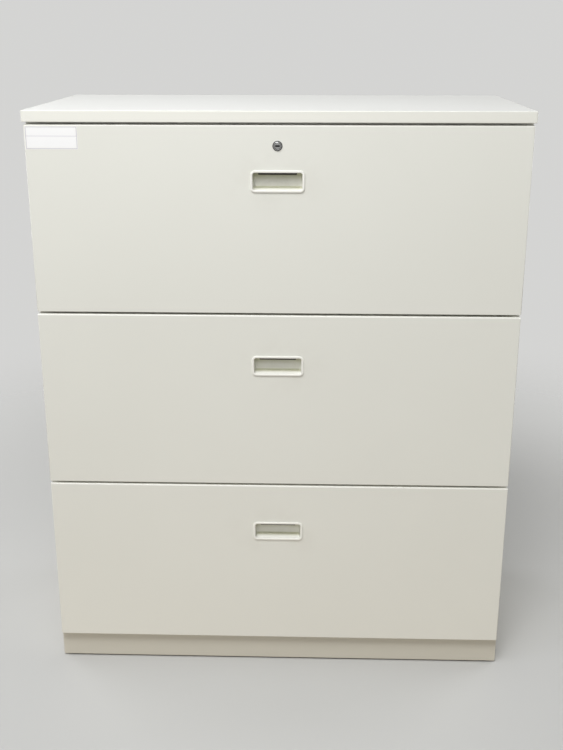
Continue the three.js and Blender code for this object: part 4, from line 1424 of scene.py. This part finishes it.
@dataclass
class Studio:
    """A pale floor, soft lamps, a pale surround and the camera."""

    floor_rings: tuple[float, ...] = (0.0, 800.0, 1600.0, 2600.0, 4000.0)
    floor_fade: Pair = (0.9, 2.3)
    floor_colour: Colour = (0.56, 0.56, 0.55)
    floor_mottle: float = 0.965
    floor_bounce: Colour = (0.42, 0.355, 0.28)
    surround: Colour = (0.66, 0.66, 0.65)
    ambient: float = 0.31
    camera_place: Triple = (0.0638, -2.0734, 1.2483)
    pitch: float = 18.51
    yaw: float = -1.755
    lens: float = 49.75
    sensor: float = 36.0
    lamps: tuple[SoftBox, ...] = (
        SoftBox("key", (-0.5, -1.1, 2.4), (0.0, -0.2, 0.8), (1.7, 0.9), 21.8, (0.985, 1.0, 1.03)),
        SoftBox("sky", (-1.25, -5.4, 9.3), (0.0, -0.2, 0.6), (4.0, 3.0), 424.0, (1.0, 1.0, 0.985)),
        SoftBox("front_fill", (-0.9, -5.2, 1.5), (0.0, -0.2, 0.7), (3.2, 1.8), 53.0, (1.0, 1.0, 0.985),
                mirrored=False),
        SoftBox("left_fill", (-2.9, 1.7, 1.0), (0.0, 0.1, 0.55), (2.0, 1.6), 48.0),
        SoftBox("right_fill", (2.9, 1.7, 1.0), (0.0, 0.1, 0.55), (2.0, 1.6), 48.0),
    )

    def floor(self) -> None:
        """Lays the floor: rings of a disc, r times (cos, sin), that fade out into the surround."""
        angle = np.linspace(0.0, 2.0 * np.pi, 64, endpoint=False)[None]
        radius = np.array(self.floor_rings)[:, None]
        grid = np.stack([radius * np.cos(angle), radius * np.sin(angle), 0.0 * radius * angle], -1)
        sheet = Shader("studio_floor")
        x, y, _ = sheet.axes()
        shown = 1.0 - (x * x + y * y).root().step(*self.floor_fade)
        cloud = sheet.noise(1.4, 3.0, 0.5)
        darker = tuple(self.floor_mottle * part for part in self.floor_colour)
        tone = sheet.mix(self.floor_bounce, sheet.mix(self.floor_colour, darker, cloud), sheet.seen())
        material = sheet.finished(Base_Color=tone, Roughness=0.62 + cloud * 0.1, IOR=1.4, Alpha=shown)
        floor = make_piece("studio_floor", Shell.from_grid(grid, False, True), material)
        if floor.data.polygons[0].normal.z < 0.0:
            floor.data.flip_normals()

    def world(self) -> None:
        """Sets a plain surround: the ambient level for light, and its own colour where it is seen."""
        world = bpy.data.worlds.new("studio_surround")
        bpy.context.scene.world = world
        world.use_nodes = True
        sheet = NodeSheet(world.node_tree)
        strength = self.ambient + sheet.seen() * (1.0 - self.ambient)
        light = sheet.node("ShaderNodeBackground", None, {"Color": self.surround, "Strength": strength})
        output = sheet.node("ShaderNodeOutputWorld")
        sheet.tree.links.new(light.outputs[0], output.inputs[0])

    def camera(self) -> None:
        """Sets the camera: pitched down and turned by the yaw, without roll."""
        pitch, yaw = math.radians(self.pitch), math.radians(self.yaw)
        ahead = Vector((math.sin(yaw) * math.cos(pitch), math.cos(yaw) * math.cos(pitch), -math.sin(pitch)))
        view = bpy.data.cameras.new("studio_camera")
        view.sensor_width = self.sensor
        view.lens = self.lens
        bpy.context.scene.camera = set_up("studio_camera", view, self.camera_place, ahead)

    def build(self) -> None:
        """Sets up the studio."""
        bpy.context.scene.view_settings.view_transform = "Standard"
        self.floor()
        self.world()
        self.camera()
        for lamp in self.lamps:
            lamp.build()


def main() -> None:
    """Builds the studio and the cabinet, piece by piece."""
    logging.basicConfig(level=logging.INFO, format="%(message)s")
    Studio().build()
    palette = Palette()
    for fixed in (Worktop, Carcass, Plinth):
        fixed(palette).build()
    for number in DRAWERS:
        for moving in (DrawerFront, DrawerBox, Pull, FingerLatch):
            moving(palette, number).build()
    for fitting in (Label, CamLock):
        fitting(palette).build()


if __name__ == "__main__":
    main()
